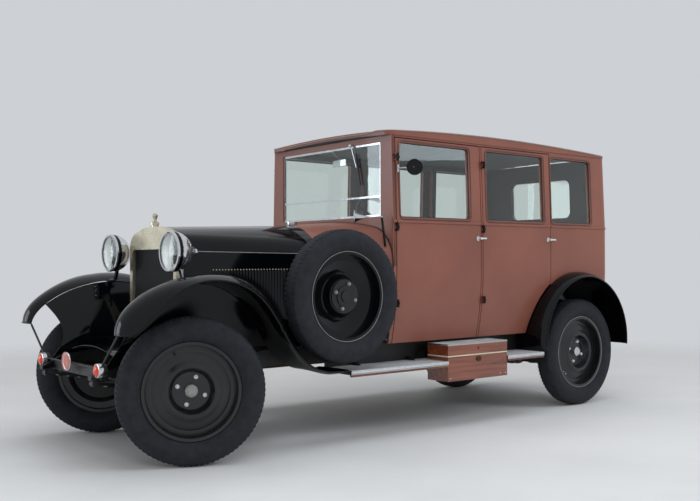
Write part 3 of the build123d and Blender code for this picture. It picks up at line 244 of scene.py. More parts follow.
@dataclass(frozen=True)
class Glazing(Surface):
    """Drawn or pressed glass that light goes through, the lamps' light unbent."""

    gloss: float = 0.0
    ripple: float = 0.0
    ripple_mm: float = 60.0

    plain_alpha: ClassVar[float] = 0.3

    def lay_on(self, tree: Tree, place: Socket) -> dict[str, object]:
        """Clear glass with a faint ripple, and open to shadow rays."""
        shape = {"Scale": per_metre(self.ripple_mm)}
        waves = add_node(tree, "ShaderNodeTexNoise", shape, {"Vector": place}).outputs["Fac"]
        shadow = add_node(tree, "ShaderNodeLightPath").outputs["Is Shadow Ray"]
        return {
            "Normal": embossed(tree, waves, self.ripple, 0.002),
            "Base Color": linear(self.colour),
            "Roughness": self.gloss,
            "Transmission Weight": 1.0,
            "IOR": 1.5,
            "Alpha": reckon(tree, "SUBTRACT", 1.0, shadow),
        }


@dataclass(frozen=True)
class Timber(Surface):
    """Wood with its grain along the car, bare or varnished."""

    dark: str
    coat: float = 0.6
    gloss: Span = (0.22, 0.4)

    grain_mm: ClassVar[float] = 9.0

    def lay_on(self, tree: Tree, place: Socket) -> dict[str, object]:
        """Drawn-out bands with fine pores in them."""
        along = {"Scale": (0.06, 1.0, 1.0)}
        place = add_node(tree, "ShaderNodeMapping", along, {"Vector": place}).outputs["Vector"]
        shape = {"Scale": per_metre(self.grain_mm * 3), "Detail": 6.0, "Distortion": 0.6}
        bands = add_node(tree, "ShaderNodeTexNoise", shape, {"Vector": place}).outputs["Fac"]
        shape = {"Scale": per_metre(self.grain_mm / 4), "Detail": 3.0}
        pores = add_node(tree, "ShaderNodeTexNoise", shape, {"Vector": place}).outputs["Fac"]
        mixed = reckon(tree, "MULTIPLY_ADD", pores, 0.25, bands)
        return {
            "Base Color": blend(tree, mixed, (0.42, 0.78), (self.dark, self.colour)),
            "Roughness": spread(tree, bands, self.gloss),
            "Normal": embossed(tree, pores, 0.15, MM),
            "Coat Weight": self.coat,
            "Coat Roughness": 0.1,
        }


# Coach lacquer: deep black with a faint peel
BLACK_LACQUER = Finish("black_coach_lacquer", "#050608", "#08090C", (0.05, 0.12), ior=1.36, mark_mm=5.0,
                       depth=0.02)
# Stoved enamel of the wheel discs, softer than the lacquer
WHEEL_ENAMEL = Finish("black_wheel_enamel", "#0A0B0D", "#121316", (0.28, 0.4), coat=0.25, patch_mm=60.0,
                      depth=0.04)
# Satin coach paint, a little chalked, which takes the light without a mirror
BROWN_PAINT = Finish("brown_coach_paint", "#804A3B", "#8C5443", (0.38, 0.52), coat=0.15, patch_mm=420.0,
                     mark_mm=4.0, depth=0.04)
# The mouldings round the windows, a shade darker
BROWN_TRIM = Finish("brown_trim_paint", "#5C3B36", "#684740", (0.35, 0.5), patch_mm=90.0)
ROOF_CLOTH = Finish("roof_leathercloth", "#4E3835", "#5B433E", (0.55, 0.7), marks=Marks.GRAIN,
                    mark_mm=4.0, depth=0.25)
# Brushed on, with road dust in its patches
CHASSIS_PAINT = Finish("chassis_black_paint", "#0C0C0D", "#1B1A1A", (0.35, 0.6), patch_mm=60.0,
                       marks=Marks.CAST, mark_mm=8.0, depth=0.1)
# Warm and softly polished, where chrome is bright and cool
NICKEL = Finish("polished_nickel", "#C2B99F", "#D3CAB2", (0.2, 0.32), 0.8, patch_mm=160.0, mark_mm=30.0,
                depth=0.01)
CHROME = Finish("chrome_plate", "#CFD1D4", "#E0E2E4", (0.06, 0.14), 0.9, patch_mm=30.0, mark_mm=2.0,
                depth=0.01)
ALUMINIUM = Finish("scuffed_aluminium", "#B4B3B0", "#CDCCCA", (0.3, 0.45), 1.0, patch_mm=25.0,
                   marks=Marks.BRUSHED, mark_mm=1.2, depth=0.12)
RUBBER = Finish("tyre_rubber", "#212225", "#2E2F33", (0.6, 0.78), ior=1.3, patch_mm=45.0, marks=Marks.CAST,
                mark_mm=2.5, depth=0.12)
# Rubber matting on the boards, bleached grey
MATTING = Finish("ribbed_matting", "#A9A6A4", "#BDBAB8", (0.5, 0.65), patch_mm=80.0, marks=Marks.RIBS,
                 mark_mm=9.0, depth=0.6)
CORE_BLACK = Finish("core_black", "#050505", "#0B0B0B", (0.5, 0.7), patch_mm=30.0, marks=Marks.CAST,
                    depth=0.2)
CAST_IRON = Finish("cast_iron", "#3A3A3A", "#4A4948", (0.5, 0.7), 0.6, patch_mm=50.0, marks=Marks.CAST,
                   mark_mm=4.0, depth=0.4)
RUSTED_STEEL = Finish("rusted_steel", "#3B2A22", "#57402F", (0.6, 0.85), 0.3, patch_mm=35.0, marks=Marks.CAST,
                      depth=0.3)
SEAT_HIDE = Finish("seat_hide", "#33231C", "#46322A", (0.4, 0.55), patch_mm=120.0, marks=Marks.GRAIN,
                   mark_mm=3.5, depth=0.25, sheen=0.1)
TRIM_CLOTH = Finish("trim_cloth", "#2F2822", "#3B322B", (0.75, 0.9), patch_mm=160.0, marks=Marks.WEAVE,
                    depth=0.3, sheen=0.25)
EBONITE = Finish("black_ebonite", "#0D0D0E", "#141415", (0.25, 0.4), patch_mm=40.0)
AMBER = Finish("amber_glass", "#E0330C", "#F2521C", (0.12, 0.2), coat=0.4, patch_mm=20.0)
SILVERED = Finish("silvered_reflector", "#F2F1EC", "#FBFAF6", (0.3, 0.4), patch_mm=18.0, mark_mm=2.0)
# Worn grey plating of caps, hinges and nuts; the same grey on the rim lines of the rear and spare wheels is a
# painted reflection along the rim's edge
WORN_PLATING_AND_RIM_GLINT = Finish("worn_cap_plating", "#8F8E8A", "#A9A7A2", (0.28, 0.42), 0.5, patch_mm=12.0,
                  marks=Marks.CAST, mark_mm=2.0, depth=0.1)
NUT_PLATE = Finish("bright_nut_plating", "#E0E0DE", "#EDEDEB", (0.2, 0.3), 0.4, patch_mm=8.0, mark_mm=2.0,
                   depth=0.03)
# The roof's rain gutter, paler and greyer than the body: a painted highlight along the roof's edge
GUTTER_PAINTED_HIGHLIGHT = Finish("weathered_gutter_paint", "#86736A", "#9A877D", (0.5, 0.7), patch_mm=40.0, marks=Marks.CAST,
                mark_mm=2.0, depth=0.1)
# The strip along the tool box lid
PALE_STRIP = Finish("pale_edge_strip", "#CDBFA8", "#DDD2BE", (0.35, 0.5), patch_mm=30.0, mark_mm=2.0)
OLD_BRONZE = Finish("old_bronze", "#3A2C1E", "#6B5236", (0.35, 0.55), 0.9, patch_mm=8.0, marks=Marks.CAST,
                    mark_mm=1.5, depth=0.2)
# The plain disc between the direction lamps
AMBER_PAINT = Finish("orange_enamel", "#C24A2C", "#D96A48", (0.15, 0.3), coat=0.8, patch_mm=20.0, mark_mm=2.0,
                     depth=0.04)
BULB_GLASS = Glazing("bulb_glass", "#FFFFFF")
WINDOW_GLASS = Glazing("drawn_window_glass", "#EDF4F0", ripple=0.02)
LAMP_GLASS = Glazing("ribbed_lamp_glass", "#F6F7F5", gloss=0.02, ripple=0.35, ripple_mm=18.0)
BOX_WOOD = Timber("varnished_mahogany", "#8C4526", "#5A2413", coat=0.8)
BOARD_WOOD = Timber("board_edge_wood", "#7A3F28", "#4E2416", coat=0.3)
FLOOR_WOOD = Timber("floor_planks", "#5E4A38", "#3E2F24", coat=0.0, gloss=(0.5, 0.7))
STONE = Finish("pale_stone_floor", "#D9D4CF", "#E1DCD7", (0.6, 0.75), patch_mm=900.0, mark_mm=6.0)


class Bench:
    """The hand tools: each makes or finishes a mesh with Blender's operators."""

    @staticmethod
    def clear() -> None:
        """Leaves nothing selected."""
        if bpy.context.mode != "OBJECT":
            bpy.ops.object.mode_set(mode="OBJECT")
        bpy.ops.object.select_all(action="DESELECT")

    @staticmethod
    def pick(*objects: Piece) -> None:
        """Selects just these objects and makes the first one active."""
        Bench.clear()
        for item in objects:
            item.select_set(True)
        bpy.context.view_layer.objects.active = objects[0]

    @staticmethod
    def edit(piece: Piece) -> None:
        """Opens a piece for editing, with all of it selected."""
        Bench.pick(piece)
        bpy.ops.object.mode_set(mode="EDIT")
        bpy.ops.mesh.select_all(action="SELECT")

    @staticmethod
    def face_out(piece: Piece) -> None:
        """Turns the faces of a piece outwards."""
        Bench.edit(piece)
        bpy.ops.mesh.normals_make_consistent(inside=False)
        bpy.ops.object.mode_set(mode="OBJECT")

    @staticmethod
    def settle(piece: Piece, name: str | None = None) -> Piece:
        """Moves the piece's place into its mesh and names it."""
        Bench.pick(piece)
        bpy.ops.object.transform_apply(location=True, rotation=True, scale=True)
        if name:
            piece.name = name
        return piece

    @staticmethod
    def join(pieces: list[Piece], name: str) -> Piece:
        """Makes one object of several, under a name."""
        Bench.pick(*pieces)
        if len(pieces) > 1:
            bpy.ops.object.join()
        joined = bpy.context.view_layer.objects.active
        joined.name = name
        return joined

    @staticmethod
    def copy(piece: Piece, name: str, matrix: Matrix | None = None) -> Piece:
        """A copy with a mesh and a name of its own, moved by the matrix if one is given."""
        twin = piece.copy()
        twin.data = piece.data.copy()
        if matrix is not None:
            twin.data.transform(matrix)
        bpy.context.scene.collection.objects.link(twin)
        twin.name = name
        return twin

    @staticmethod
    def modify(piece: Piece, kind: str, **settings: object) -> None:
        """Adds a modifier with its settings and applies it."""
        Bench.pick(piece)
        modifier = piece.modifiers.new(kind.title(), kind)
        for key, value in settings.items():
            setattr(modifier, key, value)
        bpy.ops.object.modifier_apply(modifier=modifier.name)

    @staticmethod
    def smooth(piece: Piece, angle: float = 35.0) -> None:
        """Shades the piece smooth, with edges sharper than the angle kept."""
        Bench.pick(piece)
        bpy.ops.object.shade_smooth_by_angle(angle=radians(angle))

    @staticmethod
    def slab(name: str, low: Point, high: Point, edge: float = 0.0015, steps: int = 2) -> Piece:
        """A bar between two corners with rounded edges.

        Args:
            name: the piece's name.
            low: its lowest corner.
            high: its highest corner.
            edge: the radius of its edges.
            steps: faces round an edge.

        Returns:
            The piece.
        """
        Bench.clear()
        middle = [(a + b) / 2 for a, b in zip(low, high)]
        size = [b - a for a, b in zip(low, high)]
        bpy.ops.mesh.primitive_cube_add(size=1.0, location=middle, scale=size)
        bar = Bench.settle(bpy.context.active_object, name)
        Bench.modify(bar, "BEVEL", width=edge, segments=steps, limit_method="ANGLE")
        Bench.smooth(bar)
        return bar

    @staticmethod
    def turned(name: str, steps: Steps, facets: int = 32, closed: bool = True) -> Piece:
        """A turned piece round the Y axis, drawn out from its first ring.

        Args:
            name: the piece's name.
            steps: radius and place along Y of each ring, from the first face to the last.
            facets: sides of a ring.
            closed: whether the end faces are filled.

        Returns:
            The piece, its axis on the Y axis.
        """
        Bench.clear()
        radius, place = steps[0]
        bpy.ops.mesh.primitive_circle_add(
            vertices=facets, radius=radius, fill_type="NGON" if closed else "NOTHING",
            location=(0, place, 0), rotation=(pi / 2, 0, 0),
        )
        piece = Bench.settle(bpy.context.active_object, name)
        Bench.edit(piece)
        extrude = bpy.ops.mesh.extrude_region_move if closed else bpy.ops.mesh.extrude_edges_move
        for next_radius, next_place in steps[1:]:
            extrude(TRANSFORM_OT_translate={"value": (0, next_place - place, 0)})
            ratio = next_radius / radius
            bpy.ops.transform.resize(value=(ratio, 1, ratio), center_override=(0, next_place, 0))
            radius, place = next_radius, next_place
        Bench.face_out(piece)
        Bench.smooth(piece)
        return piece

    @staticmethod
    def cord(name: str, points: list[Point], radius: float, sides: int, cyclic: bool = False) -> Piece:
        """A round bead along points, made as a curve and turned into a mesh.

        Args:
            name: the piece's name.
            points: the middle line.
            radius: the bead's radius.
            sides: the curve's bevel resolution.
            cyclic: whether the line closes on itself.

        Returns:
            The bead.
        """
        Bench.clear()
        bpy.ops.curve.primitive_nurbs_path_add(location=(0, 0, 0))
        curve = bpy.context.active_object
        curve.data.splines.clear()
        line = curve.data.splines.new("POLY")
        line.points.add(len(points) - 1)
        for spot, point in zip(line.points, points):
            spot.co = (*point, 1.0)
        line.use_cyclic_u = cyclic
        curve.data.bevel_depth = radius
        curve.data.bevel_resolution = sides
        curve.data.use_fill_caps = not cyclic
        curve.data.dimensions = "3D"
        Bench.pick(curve)
        bpy.ops.object.convert(target="MESH")
        bead = Bench.settle(bpy.context.active_object, name)
        Bench.smooth(bead, 60.0)
        return bead

    @staticmethod
    def rod(name: str, start: Point, end: Point, radius: float, facets: int = 16) -> Piece:
        """A round bar with softened ends between two points."""
        length = (Vector(end) - Vector(start)).length
        soft = min(radius * 0.3, length / 4)
        steps = [(radius - soft, 0.0), (radius, soft), (radius, length - soft), (radius - soft, length)]
        return Bench.aim(Bench.turned(name, steps, facets), start, Vector(end) - Vector(start))

    @staticmethod
    def ring(name: str, major: float, minor: float, place: Point, facets: int = 40,
             across: bool = False) -> Piece:
        """A round wire ring about the Y axis, or about the X axis where it lies across the car."""
        Bench.clear()
        bpy.ops.mesh.primitive_torus_add(
            major_radius=major, minor_radius=minor, major_segments=facets, minor_segments=8, location=place,
            rotation=(0, pi / 2, 0) if across else (pi / 2, 0, 0),
        )
        wire = Bench.settle(bpy.context.active_object, name)
        Bench.smooth(wire, 80.0)
        return wire

    @staticmethod
    def aim(piece: Piece, place: Point, towards: Point | Vector) -> Piece:
        """Turns a piece's Y axis towards a direction and sets it down at a place."""
        turn = Vector(towards).normalized().to_track_quat("Y", "Z").to_matrix().to_4x4()
        piece.data.transform(Matrix.Translation(place) @ turn)
        return piece


def coat(piece: Piece, material: Material) -> None:
    """Gives a piece one material and no other."""
    piece.data.materials.clear()
    piece.data.materials.append(material)


def dress(piece: Piece, finish: Surface, body: str) -> Piece:
    """Gives a piece its finish and its body.

    Args:
        piece: the finished mesh.
        finish: what it is made of.
        body: the CAD body that it rides on.

    Returns:
        The piece.
    """
    coat(piece, finish.material())
    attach(piece, body)
    LOG.info("piece %s on %s, %d faces", piece.name, body, len(piece.data.polygons))
    return piece


def fasten(
    name: str, steps: Steps, facets: int, place: Point, towards: Point, finish: Surface, body: str,
) -> None:
    """Sets a turned fitting at a place, its axis along a direction."""
    dress(Bench.aim(Bench.turned(name, steps, facets), place, towards), finish, body)


def coat_where(nodes: str | tuple[str, ...], finish: Surface, test: FaceTest) -> None:
    """Gives another finish to the faces of CAD nodes whose middle and normal pass a test.

    Args:
        nodes: one CAD node or several.
        finish: the other finish.
        test: takes a face's middle and normal, and says whether it belongs.
    """
    for node in (nodes,) if isinstance(nodes, str) else nodes:
        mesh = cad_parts[node].data
        mesh.materials.append(finish.material())
        for face in mesh.polygons:
            if test(face.center, face.normal):
                face.material_index = len(mesh.materials) - 1


def strike(node: str, start: Point, towards: Point) -> Vector | None:
    """Where a line from a point first meets a CAD node, or None."""
    hit, place, _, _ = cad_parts[node].ray_cast(Vector(start), Vector(towards).normalized())
    return place if hit else None


class Side(Enum):
    """The car's two sides."""

    LEFT = 1
    RIGHT = -1

    @property
    def word(self) -> str:
        """The side's name in the frame's names."""
        return self.name.lower()


@dataclass
class Coachwork:
    """Finishes of the CAD nodes."""

    cabin_half: float = 0.612
    cabin_foot: float = 0.56
    tail_x: float = -3.488
    scuttle_line: float = -1.03
    scuttle_slant: float = 0.17
    scuttle_foot: float = 0.62
    dash_x: float = -0.957
    handle_height: float = 1.208
    hinge_heights: Point = (0.8, 1.27, 1.7)
    door_skin: float = 0.6462
    fork_top: float = 0.995
    band: Span = (0.0, 0.0262)
    band_radius: float = 0.105
    dome_x: float = 0.438
    board_under: float = 0.4275
    board_top: float = 0.43
    horn_foot: float = 1.322

    def dress_nodes(self) -> None:
        """Gives every CAD node its finish."""
        doors = each("door")
        panels = each("bonnet_top", SIDES) + each("bonnet_side", SIDES)
        walls = (*each("side_frame", SIDES), "rear_panel")
        plan: dict[Surface, tuple[str, ...]] = {
            BLACK_LACQUER: (*panels, "front_fenders", "rear_fenders", "spare_wheel"),
            WHEEL_ENAMEL: each("wheel"),
            BROWN_PAINT: (*walls, *doors, "windscreen_surround"),
            ROOF_CLOTH: ("roof",),
            CHASSIS_PAINT: (
                "chassis_frame", "front_axle", "rear_axle", "leaf_springs", *each("knuckle", SIDES),
                "track_rod", "spare_carrier", "steering_column", "front_fittings",
            ),
            NICKEL: ("radiator_shell",),
            WORN_PLATING_AND_RIM_GLINT: ("bonnet_hinge",),
            CORE_BLACK: ("radiator_core",),
            RUBBER: (*each("tyre"), "spare_tyre"),
            WINDOW_GLASS: (*each("glass"), "fixed_glass", "windscreen_glass"),
            LAMP_GLASS: ("headlamp_lenses",),
            CAST_IRON: ("engine",),
            RUSTED_STEEL: ("exhaust_pipe",),
            MATTING: ("running_boards",),
            BOX_WOOD: ("tool_box", "tool_box_lid"),
            FLOOR_WOOD: ("floor",),
            SEAT_HIDE: ("front_seat", "rear_seat"),
            CHROME: ("headlamps", "horn", "door_mirror", "windscreen_frame"),
            EBONITE: ("steering_wheel",),
        }
        for finish, nodes in plan.items():
            for node in nodes:
                coat(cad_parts[node], finish.material())
        coat(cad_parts["scuttle"], self.scuttle_paint())
        coat_where(walls + doors, TRIM_CLOTH, self.inside)
        coat_where("roof", TRIM_CLOTH, lambda middle, normal: normal.z < -0.5)
        coat_where(doors, NUT_PLATE, self.on_handle)
        coat_where(doors + walls[:2], BLACK_LACQUER, self.on_hinge)
        self.pick_out_parts()

    def scuttle_paint(self) -> Material:
        """Brown, and black lacquer in front of a line that falls forward at the sides."""
        paint = BROWN_PAINT.material().copy()
        paint.name = "two_tone_scuttle_paint"
        tree = paint.node_tree
        shader = tree.nodes["Principled BSDF"]
        place = add_node(tree, "ShaderNodeTexCoord").outputs["Object"]
        x, y, z = add_node(tree, "ShaderNodeSeparateXYZ", links={"Vector": place}).outputs
        off = reckon(tree, "ABSOLUTE", y)
        limit = reckon(tree, "MULTIPLY_ADD", off, self.scuttle_slant, self.scuttle_line)
        low = reckon(tree, "LESS_THAN", z, self.scuttle_foot)
        black = reckon(tree, "MAXIMUM", reckon(tree, "GREATER_THAN", x, limit), low)
        brown = shader.inputs["Base Color"].links[0].from_socket
        colour = add_node(tree, "ShaderNodeMix", {7: linear(BLACK_LACQUER.colour)}, {0: black, 6: brown},
                          data_type="RGBA")
        tree.links.new(colour.outputs[2], shader.inputs["Base Color"])
        tree.links.new(spread(tree, black, (0.45, 0.08)), shader.inputs["Roughness"])
        return paint

    def inside(self, middle: Vector, normal: Vector) -> bool:
        """Whether a face of the walls looks into the cabin."""
        toward_side = abs(middle.y) < self.cabin_half and normal.y * middle.y < -0.05
        toward_tail = middle.x < self.tail_x and normal.x > 0.5
        return middle.z > self.cabin_foot and (toward_side or toward_tail)

    def pick_out_parts(self) -> None:
        """Lamps, horn, boards, scuttle and floor: what differs from the rest of its node."""
        coat_where("headlamps", BLACK_LACQUER, lambda middle, normal: middle.z < self.fork_top)
        coat_where("headlamps", BLACK_LACQUER, self.on_band)
        coat_where(
            "front_fittings", AMBER, lambda middle, normal: middle.x > self.dome_x and abs(middle.y) > 0.3,
        )
        for edge in (
            lambda middle, normal: middle.z < self.board_under and abs(middle.y) < 0.75,
            lambda middle, normal: middle.z > self.board_top,
        ):
            coat_where("running_boards", CHASSIS_PAINT, edge)
        coat_where(
            "scuttle", BLACK_LACQUER, lambda middle, normal: middle.x > self.dash_x and abs(normal.x) > 0.6,
        )
        coat_where("floor", CHASSIS_PAINT, lambda middle, normal: normal.z < 0.9)
        coat_where("headlamps", SILVERED, self.in_bowl)
        coat_where("horn", BLACK_LACQUER, lambda middle, normal: middle.z < self.horn_foot)

    @staticmethod
    def from_lamp(middle: Vector) -> float:
        """A point's distance from the axis of the nearer headlamp."""
        return hypot(abs(middle.y) - LAMP[1], middle.z - LAMP[2])

    def in_bowl(self, middle: Vector, normal: Vector) -> bool:
        """Whether a face belongs to a headlamp's reflector."""
        return normal.x > 0.1 and middle.x < 0.026 and self.from_lamp(middle) < BOWL_RADIUS

    def on_handle(self, middle: Vector, normal: Vector) -> bool:
        """Whether a face belongs to a door's outer handle."""
        return abs(middle.y) > 0.6465 and abs(middle.z - self.handle_height) < 0.02

    def on_hinge(self, middle: Vector, normal: Vector) -> bool:
        """Whether a face belongs to a door hinge."""
        near = any(abs(middle.z - height) < 0.0265 for height in self.hinge_heights)
        return near and abs(middle.y) > self.door_skin

    def on_band(self, middle: Vector, normal: Vector) -> bool:
        """Whether a face belongs to the black band behind a lamp's rim."""
        low, high = self.band
        return low < middle.x < high and abs(normal.x) < 0.3 and self.from_lamp(middle) > self.band_radius


@dataclass(frozen=True)
class WheelPlace:
    """One wheel: its node, its body, its centre, the way that its face looks, its cap's plating, its rim
    line's finish and its valve; a grey rim line is a painted reflection of the rim's edge.
    """

    wheel: str
    body: str
    centre: Point
    outward: Point
    cap: Finish
    rim: Finish
    stem: Span

    @property
    def matrix(self) -> Matrix:
        """From a wheel drawn about Y at the origin to this place."""
        turn = Vector(self.outward).to_track_quat("Y", "Z").to_matrix().to_4x4()
        return Matrix.Translation(self.centre) @ turn

    def polar(self, point: Vector) -> Span:
        """A point's distance from the wheel's axis, and its place along the axis."""
        local = self.matrix.inverted() @ point
        return hypot(local.x, local.z), local.y


# Steered 24 degrees to the right, as in the photograph; the valve stems as the photograph shows them
STEER = radians(24.0)
KING_PIN = 0.55
PIN_OFFSET = 0.06
AXLE_HEIGHT = 0.3875
WHEELBASE = 3.195
REAR_HALF = 0.61
FRONT_AT = (PIN_OFFSET * sin(STEER), KING_PIN + PIN_OFFSET * cos(STEER))
# The rim lines of the rear wheels and the spare are grey as a painted reflection along the rim's edge; the
# front ones are black lacquer
WHEELS = tuple(
    WheelPlace(
        f"wheel_front_{side.word}", f"wheel_front_{side.word}",
        (side.value * FRONT_AT[0], side.value * FRONT_AT[1], AXLE_HEIGHT),
        (side.value * sin(STEER), side.value * cos(STEER), 0.0), WORN_PLATING_AND_RIM_GLINT, BLACK_LACQUER, (24.0, 0.208),
    )
    for side in Side
) + tuple(
    WheelPlace(
        f"wheel_rear_{side.word}", f"wheel_rear_{side.word}",
        (-WHEELBASE, side.value * REAR_HALF, AXLE_HEIGHT),
        (0.0, side.value, 0.0), CHROME, WORN_PLATING_AND_RIM_GLINT, (133.0, 0.205),
    )
    for side in Side
)
SPARE = WheelPlace("spare_wheel", "car", (-0.912, 0.704, 0.857), (0.0, 1.0, 0.0), WORN_PLATING_AND_RIM_GLINT, WORN_PLATING_AND_RIM_GLINT,
                   (200.0, 0.205))


@dataclass
class Wheels:
    """Tread, nuts, caps, valve stems and rim lines of the five wheels."""

    radius: float = 0.3875
    lugs: int = 84
    shoulder: float = 0.0335
    nut_band: Span = (0.060, 0.090)
    cap_radius: float = 0.0365
    cap_face: float = -0.0062
    flange: float = 0.2585
    flange_at: float = 0.0485

    def tread(self) -> Piece:
        """The moulded blocks of one tyre: a unit at the top, turned round the axle."""
        drop = radians(11.0)
        unit = []
        for side, along in ((1, -0.0045), (-1, 0.0095)):
            corners = (along - 0.0065, -0.0125, -0.002), (along + 0.0065, 0.0125, 0.0024)
            block = Bench.slab("block", *corners, 0.0008, 1)
            block.data.transform(
                Matrix.Translation((0, side * self.shoulder, self.radius - 0.0046))
                @ Matrix.Rotation(-side * drop, 4, "X") @ Matrix.Rotation(side * radians(14.0), 4, "Z")
            )
            unit.append(block)
        rib = Bench.slab("rib", (-0.003, -0.017, -0.0015), (0.003, 0.017, 0.0006), 0.0004, 1)
        turn = Matrix.Rotation(radians(38.0), 4, "Z")
        rib.data.transform(Matrix.Translation((0.0, 0.0, self.radius - 0.0008)) @ turn)
        ring = Bench.join([*unit, rib], "tread")
        Bench.edit(ring)
        sweep = 2 * pi * (self.lugs - 1) / self.lugs
        bpy.ops.mesh.spin(dupli=True, steps=self.lugs - 1, angle=sweep, center=(0, 0, 0), axis=(0, 1, 0))
        bpy.ops.object.mode_set(mode="OBJECT")
        return ring

    @staticmethod
    def stem() -> Piece:
        """A valve stem with its cap, standing off the disc."""
        steps = [(0.0062, -0.006), (0.0062, 0.004), (0.0042, 0.006), (0.0042, 0.024), (0.0052, 0.025),
                 (0.0052, 0.033), (0.003, 0.035)]
        return Bench.turned("valve_stem", steps, 12)

    @staticmethod
    def cap_rings() -> Piece:
        """Two raised rings on a hub cap."""
        rings = [
            Bench.ring("cap_ring", radius, 0.0016, (0, place, 0))
            for radius, place in ((0.0235, 0.0262), (0.012, 0.0305))
        ]
        return Bench.join(rings, "cap_rings")

    def fit(self) -> None:
        """Puts every fitting on every wheel."""
        tread, stem, rings = self.tread(), self.stem(), self.cap_rings()
        # A bead at the rim's edge, grey on the rear and spare wheels as a painted reflection
        line = Bench.ring("rim_line", self.flange, 0.002, (0, self.flange_at, 0), 96)
        for place in (*WHEELS, SPARE):
            turn, reach = place.stem
            stand = (
                Matrix.Rotation(radians(turn), 4, "Y") @ Matrix.Translation((0, 0.008, reach))
                @ Matrix.Rotation(radians(28.0), 4, "X")
            )
            # Black stems in front, bright ones behind; the spare wheel has neither stem nor cap
            fittings = [("tread", tread, RUBBER, Matrix()), ("rim_line", line, place.rim, Matrix())]
            if place is not SPARE:
                fittings.append(("valve", stem, EBONITE if "front" in place.wheel else CHROME, stand))
                fittings.append(("cap_rings", rings, place.cap, Matrix()))
                self.brighten(place.wheel, place, place.cap)
            for kind, unit, finish, own in fittings:
                name = f"{kind}_{place.wheel.replace('wheel_', '')}"
                dress(Bench.copy(unit, name, place.matrix @ own), finish, place.body)
        self.brighten("spare_carrier", SPARE, None)
        for item in (tread, stem, rings, line):
            bpy.data.objects.remove(item)

    def brighten(self, node: str, place: WheelPlace, cap: Finish | None) -> None:
        """Plates the nuts, and the cap where there is one.

        Args:
            node: the CAD node that carries them.
            place: the wheel's place.
            cap: the cap's finish, or None.
        """
        low, high = self.nut_band
        face = 0.0185 if cap is None else -0.0055

        def on_nut(middle: Vector, normal: Vector) -> bool:
            reach, along = place.polar(middle)
            return low < reach < high and along > face

        def on_cap(middle: Vector, normal: Vector) -> bool:
            reach, along = place.polar(middle)
            return reach < self.cap_radius and along > self.cap_face

        coat_where(node, NUT_PLATE if cap is not None else WORN_PLATING_AND_RIM_GLINT, on_nut)
        if cap is not None:
            coat_where(node, cap, on_cap)

def body_half(height: float) -> float:
    """Half the width over the body's outer face above the turn-under, which leans in above the sill."""
    return 0.645 - 0.017 * max(0.0, height - 1.332) / 0.508


def arc_points(start: Point, middle: Point, end: Point, count: int) -> list[Point]:
    """Points on the circle through three points of a plane square to X.

    Args:
        start: the first point.
        middle: a point between.
        end: the last point.
        count: how many steps.

    Returns:
        The points from start to end.
    """
    (ay, az), (by, bz), (cy, cz) = start[1:], middle[1:], end[1:]
    spread = 2 * (ay * (bz - cz) + by * (cz - az) + cy * (az - bz))
    a2, b2, c2 = ay * ay + az * az, by * by + bz * bz, cy * cy + cz * cz
    y = (a2 * (bz - cz) + b2 * (cz - az) + c2 * (az - bz)) / spread
    z = (a2 * (cy - by) + b2 * (ay - cy) + c2 * (by - ay)) / spread
    radius = hypot(ay - y, az - z)
    first, via, last = (atan2(pz - z, py - y) for py, pz in ((ay, az), (by, bz), (cy, cz)))
    sweep = (last - first) % (2 * pi)
    if (via - first) % (2 * pi) > sweep:
        sweep -= 2 * pi
    turns = [first + sweep * step / count for step in range(count + 1)]
    return [(start[0], y + radius * cos(turn), z + radius * sin(turn)) for turn in turns]


def rim_points(node: str, test: Callable[[Vector], bool], centre: Point, plane: str) -> list[Point]:
    """The middle line of a sheet's edge, found on the CAD mesh and put in order round a centre.

    Args:
        node: the CAD node.
        test: takes a corner's place and says whether it may belong.
        centre: the point that the line goes round.
        plane: the two axes in which it goes round, such as XZ.

    Returns:
        The points in order of their angle, one for every three degrees.
    """
    step = 3.0
    mesh = bmesh.new()
    mesh.from_mesh(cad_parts[node].data)
    first, second = ("XYZ".index(letter) for letter in plane)
    found: dict[int, list[Vector]] = {}
    for edge in mesh.edges:
        if len(edge.link_faces) == 2 and edge.calc_face_angle(0.0) < radians(40.0):
            continue
        for corner in edge.verts:
            if test(corner.co):
                angle = degrees(atan2(corner.co[second] - centre[second], corner.co[first] - centre[first]))
                angle += 360.0 if plane == "XZ" and angle < -90.0 else 0.0
                found.setdefault(round(angle / step), []).append(corner.co.copy())
    mesh.free()
    return [tuple(sum(found[key], Vector()) / len(found[key])) for key in sorted(found)]


